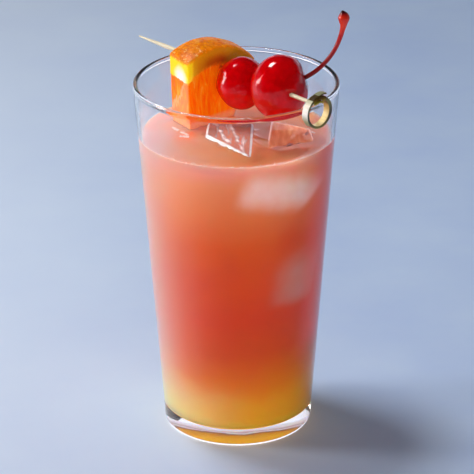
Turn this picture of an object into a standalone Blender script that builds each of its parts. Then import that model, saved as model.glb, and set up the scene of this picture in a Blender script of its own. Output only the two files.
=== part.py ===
"""A sex on the beach cocktail in its tall tumbler, with ice and a fruit garnish.

Metres, +Z up. The origin is on the glass's axis, in the plane of its foot.
The drinker stands on the -Y side. The garnish hangs on a knotted bamboo pick that
lies across the rim, so its pieces are placed in the pick's own frame: X sideways,
Y up and Z along the pick towards the knot, with its origin on the pick at the
point nearest to the glass's axis.
"""
import math

import bmesh
import bpy
from mathutils import Matrix, Vector

# Tumbler
GLASS_HEIGHT = 0.150
RIM_RADIUS = 0.0416
FOOT_RADIUS = 0.0305
WALL_AT_RIM = 0.0013
WALL_AT_FOOT = 0.0018
FLOOR_HEIGHT = 0.0065
FLOOR_CORNER = 0.0065
FOOT_ROUNDING = 0.0018
GLASS_STEPS = 64

# Drink: juice that has sunk to the bottom, and the mixed drink above it
LIQUID_LEVEL = 0.1288
JUICE_LEVEL = 0.0240
GAP = 0.0003

# Ice: each top corner as x, y, z, then the depth and how much the block narrows
ICE_CENTRE_TOP = {
    "back left": (-0.0116, 0.0030, 0.1322),
    "back right": (0.0072, 0.0005, 0.1322),
    "front right": (0.0058, -0.0305, 0.1292),
    "front left": (-0.0129, -0.0068, 0.1292),
}
ICE_CENTRE_DEPTH = 0.024
ICE_RIGHT_TOP = {
    "back left": (0.0142, 0.0098, 0.1298),
    "back right": (0.0300, 0.0008, 0.1298),
    "front right": (0.0325, -0.0160, 0.1276),
    "front left": (0.0100, -0.0310, 0.1276),
}
ICE_RIGHT_DEPTH = 0.026
ICE_NARROWING = 0.88
ICE_ROUNDING = 0.0014

# Bamboo pick, lying on the rim
PICK_RADIUS = 0.0009
PICK_TURN = math.radians(-48.28)
PICK_OFFSET = 0.00345
PICK_TIP = -0.0646
PICK_POINT_LENGTH = 0.016
PICK_POINT_RADIUS = 0.0003
PICK_STEPS = 14
RING_RADIUS = 0.0069
RING_THICKNESS = 0.0009
RING_WIDTH = 0.0036
RING_CROWN = 0.00014
RING_CENTRE = (0.0002, -0.0025)
RING_STEPS = 40
KNOT_SIZE = (0.0072, 0.0048, 0.0038)
KNOT_HEIGHT = 0.0011
TAIL_SIZE = (0.0066, 0.0009, 0.0026)
TAIL_START = -0.0010
TAIL_DROOP = math.radians(-3.0)

# Orange: a thick slice cut to a chunk, in the pick's frame
ORANGE_RADIUS = 0.0312
ORANGE_BACK_RADIUS = 0.0308
ORANGE_FRONT_RADIUS = 0.0303
ORANGE_BACK = -0.0264
ORANGE_FRONT = -0.0132
ORANGE_CENTRE = (-0.0034, -0.0207)
ORANGE_RIM_ROUNDING = 0.0014
ORANGE_LEFT = -0.0126
ORANGE_LEFT_LEAN = math.radians(-2.0)
ORANGE_LEFT_SPLAY = math.radians(-7.0)
ORANGE_RIGHT = 0.0110
ORANGE_RIGHT_LEAN = math.radians(28.0)
ORANGE_RIGHT_SPLAY = math.radians(6.0)
ORANGE_BOTTOM = -0.0058
ORANGE_EDGE = 0.0006
ORANGE_STEPS = 72

# Cherries in the pick's frame: centre, then radius sideways, up and along the pick
CHERRY_BACK_CENTRE = (0.0020, -0.0044, -0.0028)
CHERRY_BACK_RADII = (0.0108, 0.0108, 0.0100)
CHERRY_BACK_STEM_SIDE = (-0.35, -0.55, -0.50)
CHERRY_FRONT_CENTRE = (0.0035, -0.0004, 0.0184)
CHERRY_FRONT_RADII = (0.0126, 0.0132, 0.0111)
CHERRY_FRONT_STEM_SIDE = (0.763, 0.335, 0.553)
DIMPLE_DEPTH = 0.0016
DIMPLE_SPREAD = 0.42

# Stem of the front cherry in the pick's frame, and how thick it is at each point
STEM_RADIUS = 0.00092
STEM_ROUTE = (
    ((0.0100, 0.0020, 0.0228), 1.0),
    ((0.0134, 0.0042, 0.0258), 1.0),
    ((0.0170, 0.0082, 0.0289), 0.95),
    ((0.0201, 0.0136, 0.0317), 0.95),
    ((0.0219, 0.0192, 0.0333), 1.0),
    ((0.0229, 0.0245, 0.0342), 1.15),
    ((0.0230, 0.0274, 0.0342), 2.0),
    ((0.0229, 0.0296, 0.0341), 2.7),
    ((0.0224, 0.0317, 0.0338), 1.9),
)


def clear_scene():
    for obj in list(bpy.data.objects):
        bpy.data.objects.remove(obj, do_unlink=True)


def new_collection(name):
    collection = bpy.data.collections.new(name)
    bpy.context.scene.collection.children.link(collection)
    return collection


def hex_colour(code):
    """An sRGB hex colour as the linear RGBA that a shader takes."""
    channels = [int(code[i:i + 2], 16) / 255 for i in (1, 3, 5)]
    linear = [c / 12.92 if c <= 0.04045 else ((c + 0.055) / 1.055) ** 2.4 for c in channels]
    return (*linear, 1.0)


def finish(name, code, roughness, transmission=0.0):
    material = bpy.data.materials.new(name)
    material.use_nodes = True
    shader = material.node_tree.nodes["Principled BSDF"]
    shader.inputs["Base Color"].default_value = hex_colour(code)
    shader.inputs["Roughness"].default_value = roughness
    shader.inputs["Metallic"].default_value = 0.0
    shader.inputs["Transmission Weight"].default_value = transmission
    material.diffuse_color = hex_colour(code)
    return material


def add_part(name, mesh, material):
    obj = bpy.data.objects.new(name, mesh)
    PARTS.objects.link(obj)
    mesh.materials.clear()
    mesh.materials.append(material)
    return obj


def add_cutter(name, mesh):
    obj = bpy.data.objects.new(name, mesh)
    CUTTERS.objects.link(obj)
    obj.hide_render = True
    obj.display_type = "WIRE"
    return obj


def boolean(obj, other, operation):
    modifier = obj.modifiers.new(operation.title() + " " + other.name, "BOOLEAN")
    modifier.operation = operation
    modifier.object = other
    return modifier


def evaluated_mesh(obj):
    """The object's mesh with its modifiers, in its own space."""
    bpy.context.view_layer.update()
    graph = bpy.context.evaluated_depsgraph_get()
    return bpy.data.meshes.new_from_object(obj.evaluated_get(graph))


def smooth(mesh, angle=math.radians(35)):
    mesh.shade_smooth()
    mesh.set_sharp_from_angle(angle=angle)


def arc(centre, radius, start, end, count):
    """Points on a circle in the profile's plane; angles in radians from +X."""
    steps = [start + (end - start) * i / (count - 1) for i in range(count)]
    return [(centre[0] + radius * math.cos(a), centre[1] + radius * math.sin(a)) for a in steps]


def profile_mesh(name, points, closed=False):
    """A turned shape's outline in the XZ plane, as edges for a Screw modifier."""
    edges = [(i, i + 1) for i in range(len(points) - 1)]
    if closed:
        edges.append((len(points) - 1, 0))
    mesh = bpy.data.meshes.new(name)
    mesh.from_pydata([(x, 0.0, z) for x, z in points], edges, [])
    return mesh


def turn(obj, steps):
    screw = obj.modifiers.new("Turn", "SCREW")
    screw.steps = steps
    screw.render_steps = steps
    screw.use_merge_vertices = True
    screw.merge_threshold = 0.00001
    screw.use_smooth_shade = True
    return screw


def primitive_mesh(name, operator, **settings):
    mesh = bpy.data.meshes.new(name)
    bm = bmesh.new()
    operator(bm, **settings)
    bm.to_mesh(mesh)
    bm.free()
    return mesh


def box_mesh(name, low, high):
    size = Vector(high) - Vector(low)
    centre = (Vector(high) + Vector(low)) / 2
    place = Matrix.Translation(centre) @ Matrix.Diagonal((*size, 1.0))
    return primitive_mesh(name, bmesh.ops.create_cube, size=1.0, matrix=place)


def outer_radius(height):
    return FOOT_RADIUS + (RIM_RADIUS - FOOT_RADIUS) * height / GLASS_HEIGHT


def inner_radius(height):
    wall = WALL_AT_FOOT + (WALL_AT_RIM - WALL_AT_FOOT) * height / GLASS_HEIGHT
    return outer_radius(height) - wall


def bowl_profile(clearance, top):
    """The inside of the glass from the middle of its floor up to a height."""
    rise = inner_radius(GLASS_HEIGHT) - inner_radius(0.0)
    slope = math.atan2(rise, GLASS_HEIGHT)
    corner_height = FLOOR_HEIGHT + FLOOR_CORNER
    corner_x = inner_radius(corner_height) - FLOOR_CORNER / math.cos(slope)
    corner = arc((corner_x, corner_height), FLOOR_CORNER - clearance, -math.pi / 2, -slope, 8)
    return [(0.0, FLOOR_HEIGHT + clearance), *corner, (inner_radius(top) - clearance, top)]


def tumbler():
    """One turned piece: floor, inner wall, rounded rim, outer wall and foot."""
    bead = WALL_AT_RIM / 2
    inside = bowl_profile(0.0, GLASS_HEIGHT - bead)
    rim = arc((RIM_RADIUS - bead, GLASS_HEIGHT - bead), bead, math.pi, 0.0, 8)
    foot_x = outer_radius(FOOT_ROUNDING) - FOOT_ROUNDING
    foot = arc((foot_x, FOOT_ROUNDING), FOOT_ROUNDING, 0.0, -math.pi / 2, 5)
    outline = inside[:-1] + rim + foot + [(0.0, 0.0)]
    glass = add_part("tumbler_glass", profile_mesh("tumbler_glass", outline), GLASS)
    turn(glass, GLASS_STEPS)
    return glass


def juice_layer():
    """The juice at the bottom, from the floor up to where it meets the mixed drink."""
    top = JUICE_LEVEL - GAP / 2
    outline = [(0.0, top)] + bowl_profile(GAP, top)[::-1]
    layer = add_part("drink_juice_layer", profile_mesh("drink_juice_layer", outline), JUICE)
    turn(layer, GLASS_STEPS)
    return layer


def mixed_drink(pockets):
    """The drink above the juice, with a pocket round each piece that dips into it."""
    bottom = JUICE_LEVEL + GAP / 2
    outline = [
        (0.0, LIQUID_LEVEL),
        (inner_radius(LIQUID_LEVEL) - GAP, LIQUID_LEVEL),
        (inner_radius(bottom) - GAP, bottom),
        (0.0, bottom),
    ]
    drink = add_part("drink_mixed", profile_mesh("drink_mixed", outline), MIXED)
    turn(drink, GLASS_STEPS)
    for pocket in pockets:
        boolean(drink, pocket, "DIFFERENCE")
    return drink


def pocket_round(piece):
    """A cutter that is a piece grown by the gap on every side."""
    pocket = add_cutter(piece.name + "_pocket", evaluated_mesh(piece))
    pocket.matrix_world = piece.matrix_world.copy()
    grow = pocket.modifiers.new("Grow", "DISPLACE")
    grow.mid_level = 0.0
    grow.strength = GAP * 1.25
    return pocket


def ice_block(name, top, depth):
    """A cube drawn out to the four top corners, narrowing to its foot."""
    middle = sum((Vector(corner) for corner in top.values()), Vector()) / len(top)
    mesh = primitive_mesh(name, bmesh.ops.create_cube, size=2.0)
    for vertex in mesh.vertices:
        side = ("back" if vertex.co.y > 0 else "front") + (" right" if vertex.co.x > 0 else " left")
        corner = Vector(top[side])
        if vertex.co.z < 0:
            spread = (corner - middle) * ICE_NARROWING
            corner = Vector((middle.x + spread.x, middle.y + spread.y, middle.z - depth))
        vertex.co = corner
    block = add_part(name, mesh, ICE)
    edges = block.modifiers.new("Melted edges", "BEVEL")
    edges.width = ICE_ROUNDING
    edges.segments = 3
    edges.limit_method = "NONE"
    return block


def pick_frame():
    """An empty at the pick's middle: X sideways, Y up, Z along the pick."""
    along = Vector((math.cos(PICK_TURN), math.sin(PICK_TURN), 0.0))
    up = Vector((0.0, 0.0, 1.0))
    sideways = up.cross(along)
    middle = sideways * PICK_OFFSET + up * (GLASS_HEIGHT + GAP + PICK_RADIUS)
    frame = bpy.data.objects.new("pick_frame", None)
    PARTS.objects.link(frame)
    turned = Matrix((sideways, up, along)).transposed().to_4x4()
    frame.matrix_world = Matrix.Translation(middle) @ turned
    bpy.context.view_layer.update()
    return frame


def on_pick(obj, frame, location=(0.0, 0.0, 0.0)):
    obj.parent = frame
    obj.location = location
    bpy.context.view_layer.update()
    return obj


def pick_bore(frame):
    """The hole that the pick makes through the fruit, a gap wider than the pick."""
    start, end = ORANGE_BACK - 0.004, CHERRY_FRONT_CENTRE[2] + 2 * CHERRY_FRONT_RADII[2]
    place = Matrix.Translation((0.0, 0.0, (start + end) / 2))
    radius = PICK_RADIUS + GAP
    mesh = primitive_mesh("pick_bore", bmesh.ops.create_cone, cap_ends=True, segments=14,
                          radius1=radius, radius2=radius, depth=end - start, matrix=place)
    return on_pick(add_cutter("pick_bore", mesh), frame)


def bamboo_pick(frame):
    """Shaft, ring, knot and loose tail of one strip of bamboo, as one solid."""
    ring_place = RIM_RADIUS + GAP + RING_WIDTH / 2
    shaft_end = ring_place + RING_WIDTH / 3
    outline = [
        (0.0, shaft_end),
        (PICK_RADIUS, shaft_end),
        (PICK_RADIUS, PICK_TIP + PICK_POINT_LENGTH),
        (PICK_POINT_RADIUS, PICK_TIP),
        (0.0, PICK_TIP),
    ]
    pick = add_part("bamboo_pick", profile_mesh("bamboo_pick", outline), BAMBOO)
    on_pick(pick, frame)
    turn(pick, PICK_STEPS)

    half = RING_WIDTH / 2
    edge = RING_RADIUS - RING_CROWN
    inner = RING_RADIUS - RING_THICKNESS
    band = [(edge, half), (RING_RADIUS, 0.0), (edge, -half), (inner, -half), (inner, half)]
    ring = add_cutter("pick_ring", profile_mesh("pick_ring", band, closed=True))
    on_pick(ring, frame, (*RING_CENTRE, ring_place))
    turn(ring, RING_STEPS)

    knot_scale = Matrix.Diagonal((*KNOT_SIZE, 1.0))
    knot_mesh = primitive_mesh("pick_knot", bmesh.ops.create_uvsphere, u_segments=16,
                               v_segments=10, radius=0.5, matrix=knot_scale)
    knot = on_pick(add_cutter("pick_knot", knot_mesh), frame, (0.0, KNOT_HEIGHT, ring_place))

    length, thickness, width = TAIL_SIZE
    tail_mesh = box_mesh("pick_tail", (TAIL_START, -thickness, -width / 2),
                         (TAIL_START + length, 0.0, width / 2))
    ring_top = RING_CENTRE[1] + RING_RADIUS
    tail = on_pick(add_cutter("pick_tail", tail_mesh), frame, (0.0, ring_top, ring_place))
    tail.rotation_euler.z = TAIL_DROOP
    for piece in (ring, knot, tail):
        boolean(pick, piece, "UNION")
    return pick


def orange_cut(name, frame, place, lean, splay):
    """A big box whose inner face is one of the knife cuts through the slice."""
    reach = 2 * ORANGE_RADIUS
    side = 1.0 if place > 0 else -1.0
    low, high = sorted((0.0, side * reach))
    cutter = add_cutter(name, box_mesh(name, (low, -reach, -reach), (high, reach, reach)))
    middle = (ORANGE_BACK + ORANGE_FRONT) / 2
    on_pick(cutter, frame, (ORANGE_CENTRE[0] + place, ORANGE_CENTRE[1], middle))
    cutter.rotation_euler = (0.0, splay, -lean)
    return cutter


def orange_slice(frame, bore):
    """A turned slice with a barrel rind, cut on its left, right and lower sides."""
    middle = (ORANGE_BACK + ORANGE_FRONT) / 2
    back, front = ORANGE_BACK - middle, ORANGE_FRONT - middle
    rounding = ORANGE_RIM_ROUNDING
    front_edge = arc((ORANGE_FRONT_RADIUS - rounding, front - rounding), rounding,
                     math.pi / 2, 0.0, 4)
    back_edge = arc((ORANGE_BACK_RADIUS - rounding, back + rounding), rounding,
                    0.0, -math.pi / 2, 4)
    outline = [(0.0, front), *front_edge, (ORANGE_RADIUS, 0.0), *back_edge, (0.0, back)]
    slice_ = add_part("orange_slice", profile_mesh("orange_slice", outline), ORANGE)
    on_pick(slice_, frame, (*ORANGE_CENTRE, middle))
    turn(slice_, ORANGE_STEPS).use_smooth_shade = False

    left = orange_cut("orange_left_cut", frame, ORANGE_LEFT, ORANGE_LEFT_LEAN, ORANGE_LEFT_SPLAY)
    right = orange_cut("orange_right_cut", frame, ORANGE_RIGHT, ORANGE_RIGHT_LEAN,
                       ORANGE_RIGHT_SPLAY)
    reach = 2 * ORANGE_RADIUS
    lower_mesh = box_mesh("orange_lower_cut", (-reach, -reach, -reach), (reach, 0.0, reach))
    lower = on_pick(add_cutter("orange_lower_cut", lower_mesh), frame,
                    (ORANGE_CENTRE[0], ORANGE_CENTRE[1] + ORANGE_BOTTOM, middle))
    for cut in (left, right, lower):
        boolean(slice_, cut, "DIFFERENCE")
    edges = slice_.modifiers.new("Soft edges", "BEVEL")
    edges.width = ORANGE_EDGE
    edges.segments = 2
    edges.limit_method = "ANGLE"
    edges.angle_limit = math.radians(50)
    boolean(slice_, bore, "DIFFERENCE")
    return slice_


def cherry(name, frame, centre, radii, stem_side, bore):
    """A ball pressed flatter along the pick, dented where its stem grows, and bored."""
    mesh = primitive_mesh(name, bmesh.ops.create_uvsphere, u_segments=32, v_segments=20,
                          radius=1.0)
    towards_stem = Vector(stem_side).normalized()
    for vertex in mesh.vertices:
        away = vertex.co.normalized().angle(towards_stem)
        dent = DIMPLE_DEPTH * math.exp(-(away / DIMPLE_SPREAD) ** 2)
        vertex.co = Vector(radius * c for radius, c in zip(radii, vertex.co))
        vertex.co -= vertex.co.normalized() * dent
    smooth(mesh)
    fruit = on_pick(add_part(name, mesh, CHERRY), frame, centre)
    boolean(fruit, bore, "DIFFERENCE")
    return fruit


def cherry_stem(frame):
    """The stem with its thick end, as a welded mesh ready to join to the fruit."""
    curve = bpy.data.curves.new("cherry_stem", "CURVE")
    curve.dimensions = "3D"
    spline = curve.splines.new("NURBS")
    spline.points.add(len(STEM_ROUTE) - 1)
    for point, (place, thickness) in zip(spline.points, STEM_ROUTE):
        point.co = (*place, 1.0)
        point.radius = thickness
    spline.use_endpoint_u = True
    spline.order_u = 3
    spline.resolution_u = 4
    curve.bevel_depth = STEM_RADIUS
    curve.bevel_resolution = 2
    curve.use_fill_caps = True
    drawn = on_pick(add_cutter("cherry_stem_curve", curve), frame)
    mesh = evaluated_mesh(drawn)
    bm = bmesh.new()
    bm.from_mesh(mesh)
    bmesh.ops.remove_doubles(bm, verts=bm.verts, dist=0.00001)
    bm.to_mesh(mesh)
    bm.free()
    stem = add_cutter("cherry_stem", mesh)
    stem.matrix_world = drawn.matrix_world.copy()
    bpy.data.objects.remove(drawn, do_unlink=True)
    return stem


clear_scene()
PARTS = new_collection("sex_on_the_beach")
CUTTERS = new_collection("cutters")
GLASS = finish("clear glass", "#e8f0f4", 0.02, transmission=1.0)
JUICE = finish("orange juice", "#dba552", 0.15)
MIXED = finish("mixed drink", "#cc5a3e", 0.15)
ICE = finish("ice", "#e6d3d6", 0.10)
ORANGE = finish("orange flesh and rind", "#f37a16", 0.40)
CHERRY = finish("cocktail cherry", "#b3040c", 0.08)
BAMBOO = finish("bamboo", "#dcd29c", 0.50)

tumbler()
juice_layer()
frame_empty = pick_frame()
fruit_bore = pick_bore(frame_empty)
bamboo_pick(frame_empty)
orange = orange_slice(frame_empty, fruit_bore)
cherry("cherry_back", frame_empty, CHERRY_BACK_CENTRE, CHERRY_BACK_RADII,
       CHERRY_BACK_STEM_SIDE, fruit_bore)
front_cherry = cherry("cherry_front", frame_empty, CHERRY_FRONT_CENTRE, CHERRY_FRONT_RADII,
                      CHERRY_FRONT_STEM_SIDE, fruit_bore)
boolean(front_cherry, cherry_stem(frame_empty), "UNION")
ice_centre = ice_block("ice_centre", ICE_CENTRE_TOP, ICE_CENTRE_DEPTH)
ice_right = ice_block("ice_right", ICE_RIGHT_TOP, ICE_RIGHT_DEPTH)
mixed_drink([pocket_round(piece) for piece in (ice_centre, ice_right, orange)])
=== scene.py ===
# %% [markdown]
# # Sex on the beach, in its tumbler
# A tall glass of cloudy drink: juice that has sunk to the bottom, a peach-red mix above it,
# ice at the top, and a bamboo pick across the rim with a piece of orange and two cherries.
# The solids of the model are loaded first and never moved. Each piece below is a finer
# version of one of them, in the same place and with the same form.

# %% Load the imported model
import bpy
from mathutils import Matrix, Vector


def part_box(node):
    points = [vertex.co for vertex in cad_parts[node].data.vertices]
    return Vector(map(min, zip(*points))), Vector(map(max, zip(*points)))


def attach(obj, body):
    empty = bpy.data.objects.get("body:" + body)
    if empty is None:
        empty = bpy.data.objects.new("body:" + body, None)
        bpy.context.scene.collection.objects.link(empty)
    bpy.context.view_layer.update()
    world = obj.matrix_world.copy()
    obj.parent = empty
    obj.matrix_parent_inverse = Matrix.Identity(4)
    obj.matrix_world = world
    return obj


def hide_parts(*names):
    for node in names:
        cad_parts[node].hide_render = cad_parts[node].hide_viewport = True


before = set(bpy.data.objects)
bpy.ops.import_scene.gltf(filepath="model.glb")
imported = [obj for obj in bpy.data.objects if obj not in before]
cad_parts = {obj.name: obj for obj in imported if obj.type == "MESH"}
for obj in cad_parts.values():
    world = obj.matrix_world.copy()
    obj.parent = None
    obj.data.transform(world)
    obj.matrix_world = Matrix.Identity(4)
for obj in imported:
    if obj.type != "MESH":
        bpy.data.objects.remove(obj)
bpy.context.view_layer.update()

# %% [markdown]
# Blender works in metres. A drink is easier to think of in millimetres, so sizes below are
# written as a number of `MM`. The scene's unit could be changed instead, but the solids were
# packed in metres, and the two have to agree.

# %% Modules and units
import math
import random

import bmesh
import bpy
from mathutils import Euler, Matrix, Vector, noise
from mathutils.bvhtree import BVHTree

MM = 0.001
UP = Vector((0.0, 0.0, 1.0))


def in_mm(*lengths):
    """Lengths as rounded millimetres, for printing."""
    return [round(length / MM, 2) for length in lengths]


# %% [markdown]
# The photograph was taken with a long lens, a little over a metre away, looking down at about
# 24 degrees. A long lens keeps the glass's sides from leaning, so the distance matters as much
# as the angle. The frame is square, so the lens's angle is the same both ways.

# %% Camera
CAMERA_PLACE = (0.0, -1.0587, 0.5486)
CAMERA_PITCH = math.radians(23.81)
CAMERA_ROLL = math.radians(-0.278)
# A camera's own sizes are in millimetres
SENSOR = 36.0
LENS = 213.6

camera = bpy.data.objects.new("camera", bpy.data.cameras.new("camera"))
bpy.context.scene.collection.objects.link(camera)
camera.data.sensor_width = SENSOR
camera.data.lens = LENS
tilt = Matrix.Rotation(math.pi / 2 - CAMERA_PITCH, 4, "X")
camera.matrix_world = Matrix.Translation(CAMERA_PLACE) @ tilt @ Matrix.Rotation(CAMERA_ROLL, 4, "Z")
bpy.context.scene.camera = camera
bpy.context.scene.view_settings.view_transform = "Standard"
print("camera", round(Vector(CAMERA_PLACE).length, 3), "m from the middle of the foot")

# %% [markdown]
# Colours are written as sRGB hex, as a colour picker shows them. Shaders count light, so each
# is turned to linear values first.

# %% Colours
def linear(code):
    """An sRGB hex colour as linear RGBA."""
    parts = [int(code[i:i + 2], 16) / 255 for i in (1, 3, 5)]
    return (*[c / 12.92 if c <= 0.04045 else ((c + 0.055) / 1.055) ** 2.4 for c in parts], 1.0)


print("a mid grey, #808080, is", round(linear("#808080")[0], 3), "of the light of white")

# %% [markdown]
# A material is a Principled shader. What is even all over is set on its sockets, and what
# varies is painted by nodes. One function adds any kind of node: its inputs are values or the
# outputs of other nodes, and what it returns goes into the next one.

# %% Nodes
# A fade whose From Min is above its From Max runs the other way, from 1 down to 0
SOFTLY = {"interpolation_type": "SMOOTHSTEP"}
# A Mix node has sockets for every type: input 0 is its factor, inputs 6 and 7 are the two
# colours, and output 2 is the mixed colour
OF_COLOURS = {"out": 2, "data_type": "RGBA"}


def add(tree, kind, inputs=None, out=0, stops=(), **settings):
    """Adds a node, gives its inputs values or links, and returns one of its outputs."""
    node = tree.nodes.new("ShaderNode" + kind)
    for name, value in settings.items():
        setattr(node, name, value)
    for name, value in (inputs or {}).items():
        if isinstance(value, bpy.types.NodeSocket):
            tree.links.new(value, node.inputs[name])
        else:
            node.inputs[name].default_value = value
    for index, (spot, colour) in enumerate(stops):
        ramp = node.color_ramp.elements
        stop = ramp[index] if index < 2 else ramp.new(spot)
        stop.position = spot
        stop.color = linear(colour) if isinstance(colour, str) else colour
    return node.outputs[out]


def per(size):
    """The scale of a texture whose features are this large."""
    return 1.0 / size


print("a pattern of 2 mm needs a scale of", per(2 * MM))

# %% [markdown]
# Every finish starts from the even values of the real material, and then gets what varies. A
# value that is the same all over stays on the shader's own socket, because an exported model
# keeps it there and can lose it when it comes from a node.

# %% Starting and painting a finish
def new_finish(name, even):
    """A Principled material with its even values, and its node tree."""
    material = bpy.data.materials.new(name)
    material.use_nodes = True
    shader = material.node_tree.nodes["Principled BSDF"]
    for socket, value in even.items():
        shader.inputs[socket].default_value = value
    print(name, "starts with", len(even), "even values")
    return material, material.node_tree


def paint(material, **sockets):
    """Links what varies over the surface to the shader."""
    tree = material.node_tree
    for name, value in sockets.items():
        tree.links.new(value, tree.nodes["Principled BSDF"].inputs[name.replace("_", " ")])
    print(material.name, "is painted by", len(tree.nodes) - 2, "nodes")


# %% [markdown]
# Every piece goes through the same gate: it gets its finish, rides on the model's one body,
# and stands for the solids that it replaces.

# %% Making and showing a piece
def evaluated(obj):
    """The object's mesh with its modifiers, and the object is removed."""
    bpy.context.view_layer.update()
    mesh = bpy.data.meshes.new_from_object(
        obj.evaluated_get(bpy.context.evaluated_depsgraph_get()))
    bpy.data.objects.remove(obj)
    return mesh


def put(name, data, place=None):
    """An object in the scene with this mesh, curve or light, at a place given as a matrix."""
    obj = bpy.data.objects.new(name, data)
    bpy.context.scene.collection.objects.link(obj)
    if place is not None:
        obj.matrix_world = place
    return obj


def show(obj, finishes, slot, *nodes):
    """Gives a piece its finishes and body, and takes the place of these solids; its slot is not
    used.
    """
    obj.data.materials.clear()
    for finish in finishes:
        obj.data.materials.append(finish)
    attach(obj, "root")
    if nodes:
        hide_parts(*nodes)
    print(obj.name, "has", len(obj.data.polygons), "faces")
    return obj


# %% [markdown]
# The glass is a turned shape, so its measures are radii at heights. They are read from the
# solids: the outer wall from the tumbler, and the inner wall from the drink, which stands
# 0.3 mm clear of it. Typed in a second time, they would no longer follow the solids.

# %% Measures of the glass and the drink
GAP = 0.3 * MM
FLOOR_CORNER = 6.5 * MM
FOOT_ROUNDING = 1.8 * MM
RIM_BEAD = 0.65 * MM
SAME_HEIGHT = 0.1 * MM
GLASS_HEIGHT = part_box("tumbler_glass")[1].z
RIM_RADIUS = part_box("tumbler_glass")[1].x
JUICE_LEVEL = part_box("drink_mixed")[0].z - GAP / 2
LIQUID_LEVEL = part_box("drink_mixed")[1].z
FLOOR_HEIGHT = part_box("drink_juice_layer")[0].z - GAP


def radius_at(node, height):
    """The largest radius of a node's corners close to a height."""
    corners = [v.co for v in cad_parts[node].data.vertices]
    return max(math.hypot(c.x, c.y) for c in corners if abs(c.z - height) < SAME_HEIGHT)


def line_through(low, low_radius, high, high_radius):
    """A straight wall's radius as a function of height."""
    slope = (high_radius - low_radius) / (high - low)
    return lambda height: low_radius + slope * (height - low)


outer_wall = line_through(FOOT_ROUNDING, radius_at("tumbler_glass", FOOT_ROUNDING),
                          GLASS_HEIGHT - RIM_BEAD, RIM_RADIUS)
inner_wall = line_through(JUICE_LEVEL, radius_at("drink_mixed", JUICE_LEVEL + GAP / 2) + GAP,
                          LIQUID_LEVEL, radius_at("drink_mixed", LIQUID_LEVEL) + GAP)
print("rim radii, outside and inside:", in_mm(outer_wall(GLASS_HEIGHT), inner_wall(GLASS_HEIGHT)))

# %% [markdown]
# Glass and drink are both turned round one axis. A Screw modifier does what a lathe does: it
# turns an outline of (radius, height) points into a closed skin. Bending a cylinder to fit
# would also work, but here each rounding stays a number that can be read and changed.

# %% Turning an outline
TURN_STEPS = 192


def arc(centre, radius, start, end, count):
    """Points on a circle in the outline's plane; angles in degrees from +X."""
    angles = [math.radians(start + (end - start) * i / (count - 1)) for i in range(count)]
    return [(centre[0] + radius * math.cos(a), centre[1] + radius * math.sin(a)) for a in angles]


def turned(name, outline):
    """A closed mesh turned round Z from (radius, height) pairs."""
    mesh = bpy.data.meshes.new(name)
    edges = [(i, i + 1) for i in range(len(outline) - 1)]
    mesh.from_pydata([(radius, 0.0, height) for radius, height in outline], edges, [])
    blank = put(name + "_blank", mesh)
    screw = blank.modifiers.new("Turn", "SCREW")
    screw.steps = screw.render_steps = TURN_STEPS
    screw.use_merge_vertices = True
    screw.merge_threshold = 0.002 * MM
    mesh = evaluated(blank)
    bm = bmesh.new()
    bm.from_mesh(mesh)
    bmesh.ops.recalc_face_normals(bm, faces=bm.faces)
    bm.to_mesh(mesh)
    bm.free()
    mesh.shade_smooth()
    print(name, "is turned from", len(outline), "points")
    return mesh


# %% [markdown]
# The inside of the glass is used twice: as the tumbler's inner face, and a hair further out as
# the skin of the drink. Its floor meets the wall in a round corner.

# %% Walls and floor
def straight(start, end):
    """Points between two ends, close together near them, so that shading stays even."""
    shares = (0.004, 0.02, 0.1, 0.3, 0.5, 0.7, 0.9, 0.98, 0.996)
    return [tuple(a + (b - a) * share for a, b in zip(start, end)) for share in shares]


def bowl(reach, top):
    """The inside of the glass from the middle of its floor; reach goes into the wall."""
    corner_height = FLOOR_HEIGHT + FLOOR_CORNER
    slope = math.degrees(math.atan2(inner_wall(1.0) - inner_wall(0.0), 1.0))
    centre = (inner_wall(corner_height) - FLOOR_CORNER / math.cos(math.radians(slope)),
              corner_height)
    corner = arc(centre, FLOOR_CORNER + reach, -90, -slope, count=14)
    return [(0.0, FLOOR_HEIGHT - reach), *corner, (inner_wall(top) + reach, top)]


print("floor of the bowl at", in_mm(FLOOR_HEIGHT), "mm, in a glass of", in_mm(GLASS_HEIGHT))

# %% [markdown]
# The tumbler is soda-lime glass, pressed with a thick floor. It could be a hollow shell with a
# Solidify modifier, but glass bends light at both of its faces, and the thick floor shows as
# bright bands, so the whole section is one turned outline. It casts no shadow of its own: light
# would otherwise have to find its way through two bent faces to reach the drink.

# %% Soda-lime glass, pressed and fire-polished
# The flame leaves no grain, so the eye sees sharp reflections and no colour but a cool hint.
# The usual IOR is 1.5. The rough coat is the faint bloom of handling and damp on cold glass,
# which spreads the window's reflection into a pale sheen. The tint on the mirror shine keeps
# the lamps' reflections from hiding what is inside.
soda_lime = new_finish("soda_lime_glass", {
    "Base Color": linear("#fbfdfe"),
    "Roughness": 0.0,
    "IOR": 1.5,
    "Transmission Weight": 1.0,
    "Specular Tint": (0.4, 0.4, 0.4, 1.0),
    "Coat Weight": 0.22,
    "Coat Roughness": 0.34,
})[0]

# %% [markdown]
# The outline starts in the middle of the floor inside, climbs the inner wall, goes over the
# round bead of the rim, down the outer wall, and round the foot back to the axis.

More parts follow.
